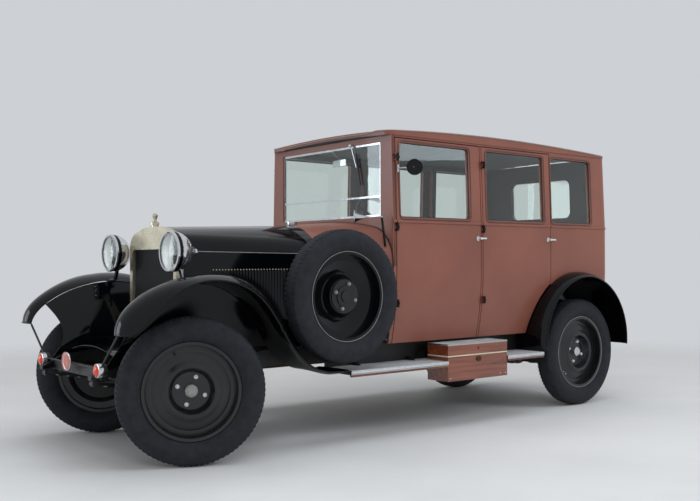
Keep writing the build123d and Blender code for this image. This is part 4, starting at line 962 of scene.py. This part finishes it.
@dataclass
class BodyTrim:
    """Mouldings, piping and fittings on the closed body."""

    # What carries each window, and its front and rear edges
    windows: tuple[tuple[str, float, float], ...] = (
        ("door_front", -1.422, -2.040),
        ("door_rear", -2.208, -2.802),
        ("car", -2.892, -3.350),
    )
    sill: float = 1.332
    head: float = 1.797
    corner: float = 0.022
    seam_x: float = -1.352
    board_x: float = -1.386
    board_z: float = 1.268
    inner_handle: float = 0.582

    def outline(self, front: float, rear: float, grown: float, out: float, side: Side) -> list[Point]:
        """A window's rounded outline on the leaning wall.

        Args:
            front: the opening's front edge.
            rear: its rear edge.
            grown: how far outside the opening the line runs.
            out: how far in front of the wall's face.
            side: the side of the car.

        Returns:
            The closed line's points.
        """
        x_high, x_low = front + grown, rear - grown
        z_low, z_high = self.sill - grown, self.head + grown
        bend = self.corner + grown
        points = []
        for x, z, start in (
            (x_high, z_low, 270), (x_high, z_high, 0), (x_low, z_high, 90), (x_low, z_low, 180),
        ):
            middle_x = x - bend if x == x_high else x + bend
            middle_z = z + bend if z == z_low else z - bend
            for step in range(5):
                turn = radians(start + 22.5 * step)
                height = middle_z + bend * sin(turn)
                points.append((middle_x + bend * cos(turn), side.value * (body_half(height) + out), height))
        return points

    def frame_windows(self) -> None:
        """A raised moulding and a black channel round each side window."""
        for side in Side:
            for carrier, front, rear in self.windows:
                name = f"{carrier}_{side.word}"
                for kind, grown, out, radius, finish in (
                    ("moulding", 0.011, 0.0, 0.005, BROWN_TRIM), ("channel", -0.001, -0.010, 0.004, EBONITE),
                ):
                    line = self.outline(front, rear, grown, out, side)
                    cord = Bench.cord(f"window_{kind}_{name}", line, radius, 2, True)
                    dress(cord, finish, carrier if carrier == "car" else name)

    def pipe_scuttle(self) -> None:
        """Black piping in the seam behind the scuttle, and two beads on each front post."""
        x = self.seam_x
        left = (
            arc_points((x, 0.592, 0.560), (x, 0.628, 0.750), (x, 0.645, 1.0), 8)
            + arc_points((x, 0.645, 1.0), (x, 0.616, 1.165), (x, 0.5, 1.267), 10)[1:]
            + arc_points((x, 0.5, 1.267), (x, 0.0, 1.318), (x, -0.5, 1.267), 24)[1:13]
        )
        line = left + [(px, -py, pz) for px, py, pz in reversed(left[:-1])]
        dress(Bench.cord("scuttle_piping", line, 0.0042, 2), EBONITE, "car")
        for side in Side:
            for number, bead_x in enumerate((-1.3665, -1.3785)):
                heights = (1.03, 1.12, 1.22, 1.332, 1.50, 1.66, 1.835)
                points = [(bead_x, side.value * (body_half(z) + 0.0004), z) for z in heights]
                dress(Bench.cord(f"post_bead_{side.word}_{number}", points, 0.0028, 1), BROWN_TRIM, "car")

    @staticmethod
    def edge_roof() -> None:
        """The rain gutter round the roof's edge, its pale grey-brown a painted highlight along the edge, and
        the paint of the edge itself.
        """
        points = rim_points("roof", lambda place: place.z > 1.8435, (-2.46, 0.0, 0.0), "XY")
        dress(Bench.cord("roof_gutter", points, 0.0048, 2, True), GUTTER_PAINTED_HIGHLIGHT, "car")
        coat_where("roof", BROWN_PAINT, lambda middle, normal: abs(normal.z) < 0.5)

    def fit_windscreen(self) -> None:
        """The wiper, the mirror inside and the dials on the instrument board."""
        pivot = (-1.351, 0.245, 1.806)
        knob = [(0.006, 0.0), (0.011, 0.004), (0.011, 0.016), (0.007, 0.02)]
        fasten("wiper_knob", knob, 16, (-1.3565, 0.245, 1.806), (1, 0, 0), CHROME, "car")
        dress(Bench.rod("wiper_arm", pivot, (-1.3565, 0.292, 1.66), 0.0028, 10), CHROME, "car")
        blade = (-1.3585, 0.286, 1.752), (-1.3585, 0.332, 1.545)
        dress(Bench.rod("wiper_blade", *blade, 0.005, 8), EBONITE, "car")
        glass = Bench.slab("inside_mirror", (-1.472, -0.085, 1.700), (-1.462, 0.055, 1.748), 0.004, 3)
        dress(glass, CHROME, "car")
        stem = (-1.466, -0.015, 1.745), (-1.388, -0.015, 1.815)
        dress(Bench.rod("inside_mirror_stem", *stem, 0.004, 10), CHROME, "car")
        for number, (y, rim) in enumerate(((0.0, 0.042), (0.11, 0.030), (-0.11, 0.030), (-0.2, 0.022))):
            profile = ((0.002, 0.0), (0.0, 0.004), (0.0, 0.008), (0.004, 0.010), (0.006, 0.006))
            bezel = [(rim - step_in, place) for step_in, place in profile]
            place = (self.board_x, y, self.board_z)
            fasten(f"dial_{number}", bezel, 28, place, (-1, 0, 0), NICKEL, "car")
            face = [(rim - 0.007, 0.0), (rim - 0.007, 0.0072)]
            fasten(f"dial_face_{number}", face, 28, place, (-1, 0, 0), EBONITE, "car")

    @staticmethod
    def fit_levers() -> None:
        """Gear and brake levers and pedals."""
        gear = [(-1.50, 0.05, 0.585), (-1.53, 0.05, 0.75), (-1.60, 0.055, 0.93)]
        dress(Bench.cord("gear_lever", gear, 0.008, 3), CHASSIS_PAINT, "car")
        knob = [(0.008, -0.016), (0.018, -0.008), (0.020, 0.002), (0.015, 0.014), (0.005, 0.019)]
        fasten("gear_knob", knob, 20, (-1.605, 0.056, 0.942), (-0.35, 0, 1), EBONITE, "car")
        brake = [(-1.47, -0.05, 0.585), (-1.50, -0.05, 0.76), (-1.56, -0.05, 0.98)]
        dress(Bench.cord("brake_lever", brake, 0.009, 2), CHASSIS_PAINT, "car")
        for name, y in (("clutch", 0.36), ("brake", 0.21), ("throttle", 0.12)):
            stalk = [(-1.20, y, 0.70), (-1.27, y, 0.735), (-1.31, y, 0.775)]
            dress(Bench.cord(f"{name}_stalk", stalk, 0.007, 2), CHASSIS_PAINT, "car")
            pad = Bench.slab(f"{name}_pedal", (-0.006, -0.032, -0.03), (0.006, 0.032, 0.03), 0.003)
            tilt = Matrix.Rotation(radians(-38.0), 4, "Y")
            pad.data.transform(Matrix.Translation((-1.316, y, 0.782)) @ tilt)
            dress(pad, EBONITE, "car")

    def fit_doors(self) -> None:
        """Handle roses, inner handles and the mirror's bracket."""
        outer_rose = [(0.018, 0.0), (0.018, 0.003), (0.013, 0.006), (0.010, 0.012)]
        inner_rose = [(0.016, 0.0), (0.016, 0.004), (0.009, 0.012), (0.006, 0.030)]
        for side in Side:
            sign = side.value
            for carrier, x in (("door_front", -2.116), ("door_rear", -2.846)):
                body = f"{carrier}_{side.word}"
                place = (x, sign * 0.645, 1.208)
                fasten(f"handle_rose_{body}", outer_rose, 24, place, (0, sign, 0), CHROME, body)
                place = (x, sign * 0.609, 1.12)
                fasten(f"inner_rose_{body}", inner_rose, 20, place, (0, -sign, 0), NICKEL, body)
                ends = (x, sign * self.inner_handle, 1.12), (x + 0.07, sign * self.inner_handle, 1.112)
                dress(Bench.rod(f"inner_handle_{body}", *ends, 0.005, 10), NICKEL, body)
        plate = Bench.slab("mirror_bracket", (-1.409, 0.636, 1.608), (-1.393, 0.644, 1.656), 0.003)
        dress(plate, CHROME, "door_front_left")
        coat_where("door_mirror", BLACK_LACQUER, self.on_mirror)

    @staticmethod
    def on_mirror(middle: Vector, normal: Vector) -> bool:
        """Whether a face belongs to the front of the door mirror's head."""
        return middle.y > 0.69 and normal.x + normal.y > 1.2

    def fit(self) -> None:
        """Puts all the body's trim in place."""
        self.frame_windows()
        self.pipe_scuttle()
        self.edge_roof()
        self.fit_windscreen()
        self.fit_levers()
        self.fit_doors()
        coat_where(
            "scuttle", CHROME, lambda middle, normal: middle.z > 1.303 and abs(middle.x + 1.056) < 0.04,
        )


@dataclass
class FrontTrim:
    """Fender beads, lamps, louvre heads bright with painted highlights and the small things on the nose."""

    indicator: Point = (0.443, 0.380, 0.502)
    louvres: int = 26
    louvre_front: float = -0.300
    louvre_pitch: float = 0.019
    louvre_head: float = 1.005
    apron_front: float = 0.408
    apron_hollow: float = 0.075
    rail_face: float = 0.357
    rail_top: float = 0.532
    rail_drop: float = 0.045
    apron_smoothings: int = 6

    @staticmethod
    def bead_fenders() -> None:
        """Rolled wire along the outer edge of every fender."""
        nose = [(0.431, 0.572, 0.698), (0.447, 0.604, 0.6995), (0.453, 0.641, 0.700), (0.446, 0.678, 0.6993)]
        for side in Side:
            sign = side.value
            edge = rim_points("front_fenders", lambda place: place.y * sign > 0.705, (-0.2, 0.0, 0.35), "XZ")
            line = [(x, sign * y, z) for x, y, z in nose] + edge
            dress(Bench.cord(f"front_fender_bead_{side.word}", line, 0.0055, 2), BLACK_LACQUER, "car")
            edge = rim_points("rear_fenders", lambda place: place.y * sign > 0.748, (-3.165, 0.0, 0.47), "XZ")
            dress(Bench.cord(f"rear_fender_bead_{side.word}", edge, 0.0055, 2), BLACK_LACQUER, "car")
            ends = (0.425, sign * 0.585, 0.690), (0.418, sign * 0.372, 0.510)
            dress(Bench.rod(f"fender_stay_{side.word}", *ends, 0.006, 12), CHASSIS_PAINT, "car")

    def hang_apron(self, side: Side) -> None:
        """The apron: a sheet from the fender's inner edge down to the outside of the side member."""
        sign = side.value

        def inner(place: Vector) -> bool:
            return 0.445 < place.y * sign < 0.545 and place.z > 0.552 and place.x < 0.36

        edge = [Vector(point) for point in rim_points("front_fenders", inner, (-0.2, 0.0, 0.35), "XZ")]
        for _ in range(self.apron_smoothings):
            edge[1:-1] = [(edge[n - 1] + edge[n] * 2.0 + edge[n + 1]) / 4.0 for n in range(1, len(edge) - 1)]
        Bench.clear()
        bpy.ops.mesh.primitive_grid_add(x_subdivisions=60, y_subdivisions=24, size=1.0)
        sheet = Bench.settle(bpy.context.active_object, f"fender_apron_{side.word}")
        for corner in sheet.data.vertices:
            along, up = corner.co.x + 0.5, corner.co.y + 0.5
            place = along * (len(edge) - 1)
            first = min(int(place), len(edge) - 2)
            top = edge[first].lerp(edge[first + 1], place - first)
            foot_x = self.apron_front + (edge[-1].x - self.apron_front) * along
            foot_z = self.rail_top - self.rail_drop * max(0.0, (foot_x - 0.2) / 0.21) ** 1.5
            rise = max(0.0, (up - 0.2) / 0.8) ** 1.6
            corner.co = (
                foot_x + (top.x - foot_x) * up - self.apron_hollow * sin(pi * up) * (1.0 - along) ** 4,
                sign * (self.rail_face + (abs(top.y) + 0.002 - self.rail_face) * rise),
                foot_z + (top.z - 0.002 - foot_z) * up,
            )
        Bench.face_out(sheet)
        Bench.modify(sheet, "SOLIDIFY", thickness=0.003, offset=0.0)
        Bench.smooth(sheet, 50.0)
        dress(sheet, BLACK_LACQUER, "car")

    def fit_lamps(self) -> None:
        """Rims, bulbs and rear bosses of the headlamps, and the amber domes with their bezels."""
        x, y, z = LAMP
        rim = [(BOWL_RADIUS - 0.001, -0.003), (BOWL_RADIUS - 0.001, 0.004), (0.106, 0.0075), (0.1125, 0.003),
               (0.1135, -0.006), (0.111, -0.008)]
        boss = [(0.030, 0.0), (0.024, 0.010), (0.017, 0.014), (0.017, 0.026), (0.010, 0.030)]
        bulb = [(0.010, 0.0), (0.010, 0.022), (0.016, 0.034), (0.017, 0.044), (0.011, 0.056), (0.004, 0.060)]
        dome = [(0.031, -0.001), (0.030, 0.004), (0.025, 0.010), (0.016, 0.014), (0.006, 0.0155)]
        bezel = [(0.0365, -0.022), (0.0375, -0.002), (0.0365, 0.0025), (0.033, 0.0035), (0.031, 0.001)]
        for side in Side:
            for name, steps, facets, closed, (at_x, at_y, at_z), finish in (
                ("lamp_rim", rim, 64, False, LAMP, CHROME),
                ("lamp_boss", boss, 28, True, (x - 0.138, y, z), CHROME),
                ("lamp_bulb", bulb, 20, True, (x - 0.098, y, z), BULB_GLASS),
                ("amber_dome", dome, 32, True, self.indicator, AMBER),
                ("amber_bezel", bezel, 40, False, self.indicator, CHROME),
            ):
                unit = Bench.turned(f"{name}_{side.word}", steps, facets, closed)
                towards = (-1, 0, 0) if steps is boss else (1, 0, 0)
                dress(Bench.aim(unit, (at_x, side.value * at_y, at_z), towards), finish, "car")
        dress(Bench.ring("plain_disc_ring", 0.046, 0.0035, (0.4455, 0, 0.520), across=True), CHROME, "car")
        coat_where(
            "front_fittings", AMBER_PAINT, lambda middle, normal: abs(middle.y) < 0.055 and middle.x > 0.4,
        )

    def cap_louvres(self) -> None:
        """The pressed heads of the louvres, round above each slot, in bright nickel as a painted highlight on
        the black louvre tops.
        """
        for side in Side:
            node = f"bonnet_side_{side.word}"
            highlight_heads = []
            for number in range(self.louvres):
                x = self.louvre_front - number * self.louvre_pitch
                spot = strike(node, (x, side.value * 0.9, self.louvre_head + 0.006), (0, -side.value, 0))
                if spot is None:
                    continue
                Bench.clear()
                bpy.ops.mesh.primitive_uv_sphere_add(segments=10, ring_count=6, radius=0.0055, location=spot)
                highlight_heads.append(bpy.context.active_object)
            joined = Bench.settle(Bench.join(highlight_heads, f"louvre_heads_{side.word}"))
            Bench.smooth(joined, 60.0)
            # Bright nickel on the louvre heads is a painted highlight; the louvres themselves are black
            # lacquer
            dress(joined, NICKEL, node)

    @staticmethod
    def hinge_bonnet() -> None:
        """The piano hinge along each fold and the bonnet's two catches."""
        for side in Side:
            sign = side.value
            body = f"bonnet_top_{side.word}"
            fold = ((-0.118, 0.2622, 1.1178), (-0.520, 0.3098, 1.1112), (-0.922, 0.3570, 1.1048))
            line = [(x, sign * y, z) for x, y, z in fold]
            dress(Bench.cord(f"fold_hinge_{side.word}", line, 0.0026, 2), WORN_PLATING_AND_RIM_GLINT, body)
            for number, x in enumerate((-0.20, -0.80)):
                share = (-0.115 - x) / 0.81
                y = sign * (0.262 + share * 0.092)
                corners = (x - 0.011, y - 0.004, 0.668), (x + 0.011, y + 0.010, 0.716)
                catch = Bench.slab(f"catch_{side.word}_{number}", *corners, 0.003)
                dress(catch, NICKEL, f"bonnet_side_{side.word}")

    def fit(self) -> None:
        """Puts all the nose's trim in place."""
        self.bead_fenders()
        for side in Side:
            self.hang_apron(side)
        self.fit_lamps()
        self.cap_louvres()
        self.hinge_bonnet()


@dataclass
class BoardTrim:
    """Bright edges and wood strips of the running boards, and the tool box's metalwork."""

    front: float = -0.932
    rear: float = -2.650
    top: float = 0.428
    outer: float = 0.756
    box: Span = (-1.720, -2.277)
    lid_bottom: float = 0.452
    lid_top: float = 0.533
    box_face: float = 0.750

    def edge_boards(self) -> None:
        """A bright strip and a strip of wood along each board."""
        runs = {
            Side.LEFT: ((self.front, self.box[0] + 0.002), (self.box[1] - 0.002, self.rear)),
            Side.RIGHT: ((self.front, self.rear),),
        }
        for side, spans in runs.items():
            sign = side.value
            for number, (ahead, behind) in enumerate(spans):
                for kind, inner, outer, low, high, edge, finish in (
                    ("edge", 0.0002, 0.0035, -0.016, 0.0015, 0.0012, CHROME),
                    ("wood", -0.016, 0.002, -0.036, -0.0245, 0.0015, BOARD_WOOD),
                ):
                    near, far = sorted((sign * (self.outer + inner), sign * (self.outer + outer)))
                    corners = (behind, near, self.top + low), (ahead, far, self.top + high)
                    strip = Bench.slab(f"board_{kind}_{side.word}_{number}", *corners, edge)
                    dress(strip, finish, "car")

    def dress_box(self) -> None:
        """Lid plate, pale edges, latch and screws of the tool box."""
        front, rear = self.box
        coat_where("tool_box_lid", MATTING, lambda middle, normal: normal.z > 0.9 and middle.z > 0.53)
        face = self.box_face
        for ahead, beside, z_low, z_high, depth, finish in (
            ("front_edge", "side_edge", self.lid_top - 0.010, self.lid_top + 0.001, 0.002, ALUMINIUM),
            ("lower_edge", "lower_side", self.lid_bottom, self.lid_bottom + 0.008, 0.0035, PALE_STRIP),
        ):
            for name, low, high in (
                (ahead, (rear, face, z_low), (front, face + depth, z_high)),
                (beside, (front, 0.570, z_low), (front + depth, face + depth, z_high)),
            ):
                dress(Bench.slab(f"lid_{name}", low, high, 0.0008), finish, "tool_box_lid")
        latch = Bench.turned("box_latch", [(0.020, 0.0), (0.020, 0.003), (0.014, 0.006), (0.006, 0.007)], 28)
        latch.data.transform(Matrix.Diagonal((1.25, 1.0, 0.85, 1.0)))
        dress(Bench.aim(latch, (-2.0, face, 0.428), (0, 1, 0)), OLD_BRONZE, "car")
        key_plate = [(0.007, 0.0), (0.007, 0.002), (0.003, 0.004)]
        fasten("box_key_plate", key_plate, 16, (-2.0, face, 0.497), (0, 1, 0), OLD_BRONZE, "tool_box_lid")
        screw = [(0.0045, 0.0), (0.004, 0.0015), (0.002, 0.002)]
        for number, x in enumerate((front - 0.02, rear + 0.02, rear + 0.07)):
            fasten(f"box_screw_{number}", screw, 12, (x, face, 0.318), (0, 1, 0), CHROME, "car")

    def fit(self) -> None:
        """Puts all the boards' trim in place."""
        self.edge_boards()
        self.dress_box()


@dataclass
class Benches:
    """The two padded benches: a cushion and a back each, on a plinth."""

    # The node, its front edge, depth, half width and the height of its plinth's top
    seats: tuple[tuple[str, float, float, float, float], ...] = (
        ("front_seat", -1.740, 0.430, 0.530, 0.720),
        ("rear_seat", -2.830, 0.450, 0.480, 0.740),
    )
    voxel: float = 0.013
    swell: float = 0.022
    flutes: int = 10
    seam_depth: float = 0.009
    seam_half: float = 0.018
    pressure: float = 4.0
    last_frame: int = 14

    def pad(self, name: str, low: Point, high: Point, lean: float) -> Piece:
        """A crowned pad with sewn flutes, swelled by cloth simulation.

        Args:
            name: the piece's name.
            low: the lowest corner of the sewn cover.
            high: its highest corner.
            lean: degrees that the pad leans back about its lower rear edge.

        Returns:
            The pad.
        """
        pad = Bench.slab(name, low, high, 0.03, 4)
        Bench.modify(pad, "REMESH", mode="VOXEL", voxel_size=self.voxel)
        self.inflate(pad)
        self.sew(pad, low, high)
        Bench.modify(pad, "SUBSURF", levels=1)
        if lean:
            hinge = Matrix.Translation((low[0], 0, low[2]))
            pad.data.transform(hinge @ Matrix.Rotation(radians(-lean), 4, "Y") @ hinge.inverted())
        Bench.smooth(pad, 60.0)
        return pad

    def inflate(self, pad: Piece) -> None:
        """Swells a pad with cloth under pressure, and caps how far a point may move."""
        rest = [corner.co.copy() for corner in pad.data.vertices]
        cloth = pad.modifiers.new("Cloth", "CLOTH")
        cloth.settings.use_pressure = True
        cloth.settings.uniform_pressure_force = self.pressure
        cloth.settings.effector_weights.gravity = 0.0
        cloth.settings.quality = 4
        scene = bpy.context.scene
        for number in range(1, self.last_frame + 1):
            scene.frame_set(number)
        Bench.pick(pad)
        bpy.ops.object.modifier_apply(modifier=cloth.name)
        scene.frame_set(1)
        for corner, start in zip(pad.data.vertices, rest):
            move = corner.co - start
            if move.length > self.swell:
                corner.co = start + move.normalized() * self.swell

    def sew(self, pad: Piece, low: Point, high: Point) -> None:
        """Presses the seams between the flutes into the pad."""
        pitch = (high[1] - low[1]) / self.flutes
        middle = Vector([(a + b) / 2 for a, b in zip(low, high)])
        for corner in pad.data.vertices:
            offset = (corner.co.y - low[1]) / pitch
            away = abs(offset - round(offset)) * pitch
            if 0 < round(offset) < self.flutes:
                depth = self.seam_depth * max(0.0, 1.0 - away / self.seam_half) ** 2
                towards = Vector((middle.x - corner.co.x, 0, middle.z - corner.co.z))
                if towards.length > 0.01:
                    corner.co += towards.normalized() * depth

    def fit(self) -> None:
        """Builds both benches in place of their plain solids."""
        for node, front, depth, half, base in self.seats:
            rear, inset, side = front - depth, self.swell, half - self.swell
            low, high = (rear + 0.03, -side, base + 0.012), (front - inset, side, base + 0.120)
            cushion = self.pad(f"{node}_cushion", low, high, 0.0)
            low, high = (rear - 0.055, -side, base + 0.13), (rear + 0.025, side, 1.275)
            back = self.pad(f"{node}_back", low, high, 9.0)
            low, high = (rear + 0.01, 0.015 - half, 0.582), (front - 0.03, half - 0.015, base)
            plinth = Bench.slab(f"{node}_plinth", low, high, 0.004)
            low, high = (rear - 0.095, 0.01 - half, base + 0.02), (rear - 0.068, half - 0.01, 1.27)
            shell = Bench.slab(f"{node}_shell", low, high, 0.008)
            shell.data.transform(
                Matrix.Translation((rear - 0.08, 0, base)) @ Matrix.Rotation(radians(-7.0), 4, "Y")
                @ Matrix.Translation((0.08 - rear, 0, -base))
            )
            for piece in (cushion, back, plinth, shell):
                dress(piece, SEAT_HIDE if piece in (cushion, back) else TRIM_CLOTH, "car")
            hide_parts(node)


@dataclass
class Studio:
    """Pale floor, soft lamps and the camera of the photograph."""

    focal: float = 47.162
    eye: Point = (2.4082, 4.8282, 1.0538)
    ahead: Point = (-0.632990, -0.774050, 0.012659)
    roll: float = -0.1848
    floor_half: float = 20.0
    middle: Point = (-1.5, 0.0, 0.0)
    fade: Span = (3.3, 7.5)
    fill: float = 0.6
    lamp_tint: Point = (0.80, 0.90, 1.0)
    mirrored_lamps: tuple[str, ...] = ("front_right",)
    surround: str = "#CDD0D4"

    def camera(self) -> None:
        """The camera at the photograph's place."""
        lens = bpy.data.cameras.new("photo_view")
        lens.lens = self.focal
        lens.sensor_width = 36.0
        lens.clip_end = 200.0
        holder = bpy.data.objects.new("photo_view", lens)
        bpy.context.scene.collection.objects.link(holder)
        turn = Vector(self.ahead).to_track_quat("-Z", "Y").to_matrix().to_4x4()
        roll = Matrix.Rotation(radians(self.roll), 4, "Z")
        holder.matrix_world = Matrix.Translation(self.eye) @ turn @ roll
        bpy.context.scene.camera = holder

    def floor(self) -> None:
        """A wide pale floor with a faint unevenness that fades into the pale surround."""
        Bench.clear()
        bpy.ops.mesh.primitive_grid_add(x_subdivisions=8, y_subdivisions=8, size=2 * self.floor_half)
        ground = Bench.settle(bpy.context.active_object, "studio_floor")
        ground.data.materials.append(STONE.material())
        tree = STONE.material().node_tree
        place = add_node(tree, "ShaderNodeTexCoord").outputs["Object"]
        centred = add_node(tree, "ShaderNodeVectorMath", {1: self.middle}, {0: place}, operation="SUBTRACT")
        away = {0: centred.outputs["Vector"]}
        reach = add_node(tree, "ShaderNodeVectorMath", links=away, operation="LENGTH")
        fade = spread(tree, reach.outputs["Value"], (0.0, 1.0), self.fade, interpolation_type="SMOOTHSTEP")
        clear = add_node(tree, "ShaderNodeBsdfTransparent").outputs["BSDF"]
        solid = tree.nodes["Principled BSDF"].outputs["BSDF"]
        mixed = add_node(tree, "ShaderNodeMixShader", links={0: fade, 1: solid, 2: clear})
        tree.links.new(mixed.outputs["Shader"], tree.nodes["Material Output"].inputs["Surface"])

    def sky(self) -> None:
        """A plain pale surround, which metal and glass show as the eye sees it."""
        world = bpy.data.worlds.new("studio")
        bpy.context.scene.world = world
        world.use_nodes = True
        tree = world.node_tree
        background = tree.nodes["Background"]
        background.inputs["Color"].default_value = linear(self.surround)
        rays = add_node(tree, "ShaderNodeLightPath").outputs
        seen = reckon(tree, "MAXIMUM", rays["Is Camera Ray"], rays["Is Glossy Ray"])
        seen = reckon(tree, "MAXIMUM", seen, rays["Is Transmission Ray"])
        tree.links.new(spread(tree, seen, (self.fill, 1.0)), background.inputs["Strength"])

    def lamps(self) -> None:
        """Large soft lamps overhead and in front."""
        plan = (
            ("overhead", (-1.4, 0.5, 6.0), (-1.4, 0.0, 0.8), 6.0, 250.0),
            ("front_left", (3.5, 7.0, 5.0), (-1.0, 0.0, 0.8), 4.0, 190.0),
            ("tail_left", (-6.0, 6.0, 4.5), (-2.5, 0.0, 0.8), 3.5, 200.0),
            ("front_right", (7.0, -6.0, 2.6), (0.0, 0.0, 1.0), 4.5, 200.0),
        )
        for name, place, aim, size, power in plan:
            light = bpy.data.lights.new(name, "AREA")
            light.size = size
            light.energy = power
            light.color = self.lamp_tint
            holder = bpy.data.objects.new(name, light)
            holder.visible_glossy = name in self.mirrored_lamps
            bpy.context.scene.collection.objects.link(holder)
            turn = (Vector(aim) - Vector(place)).to_track_quat("-Z", "Y").to_matrix().to_4x4()
            holder.matrix_world = Matrix.Translation(place) @ turn


def main() -> None:
    """Builds and dresses everything in order."""
    logging.basicConfig(level=logging.INFO, format="%(name)s: %(message)s")
    bpy.context.scene.view_settings.view_transform = "Standard"
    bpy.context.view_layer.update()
    studio = Studio()
    studio.camera()
    studio.floor()
    studio.sky()
    studio.lamps()
    Coachwork().dress_nodes()
    Wheels().fit()
    BodyTrim().fit()
    FrontTrim().fit()
    BoardTrim().fit()
    Benches().fit()


if __name__ == "__main__":
    main()
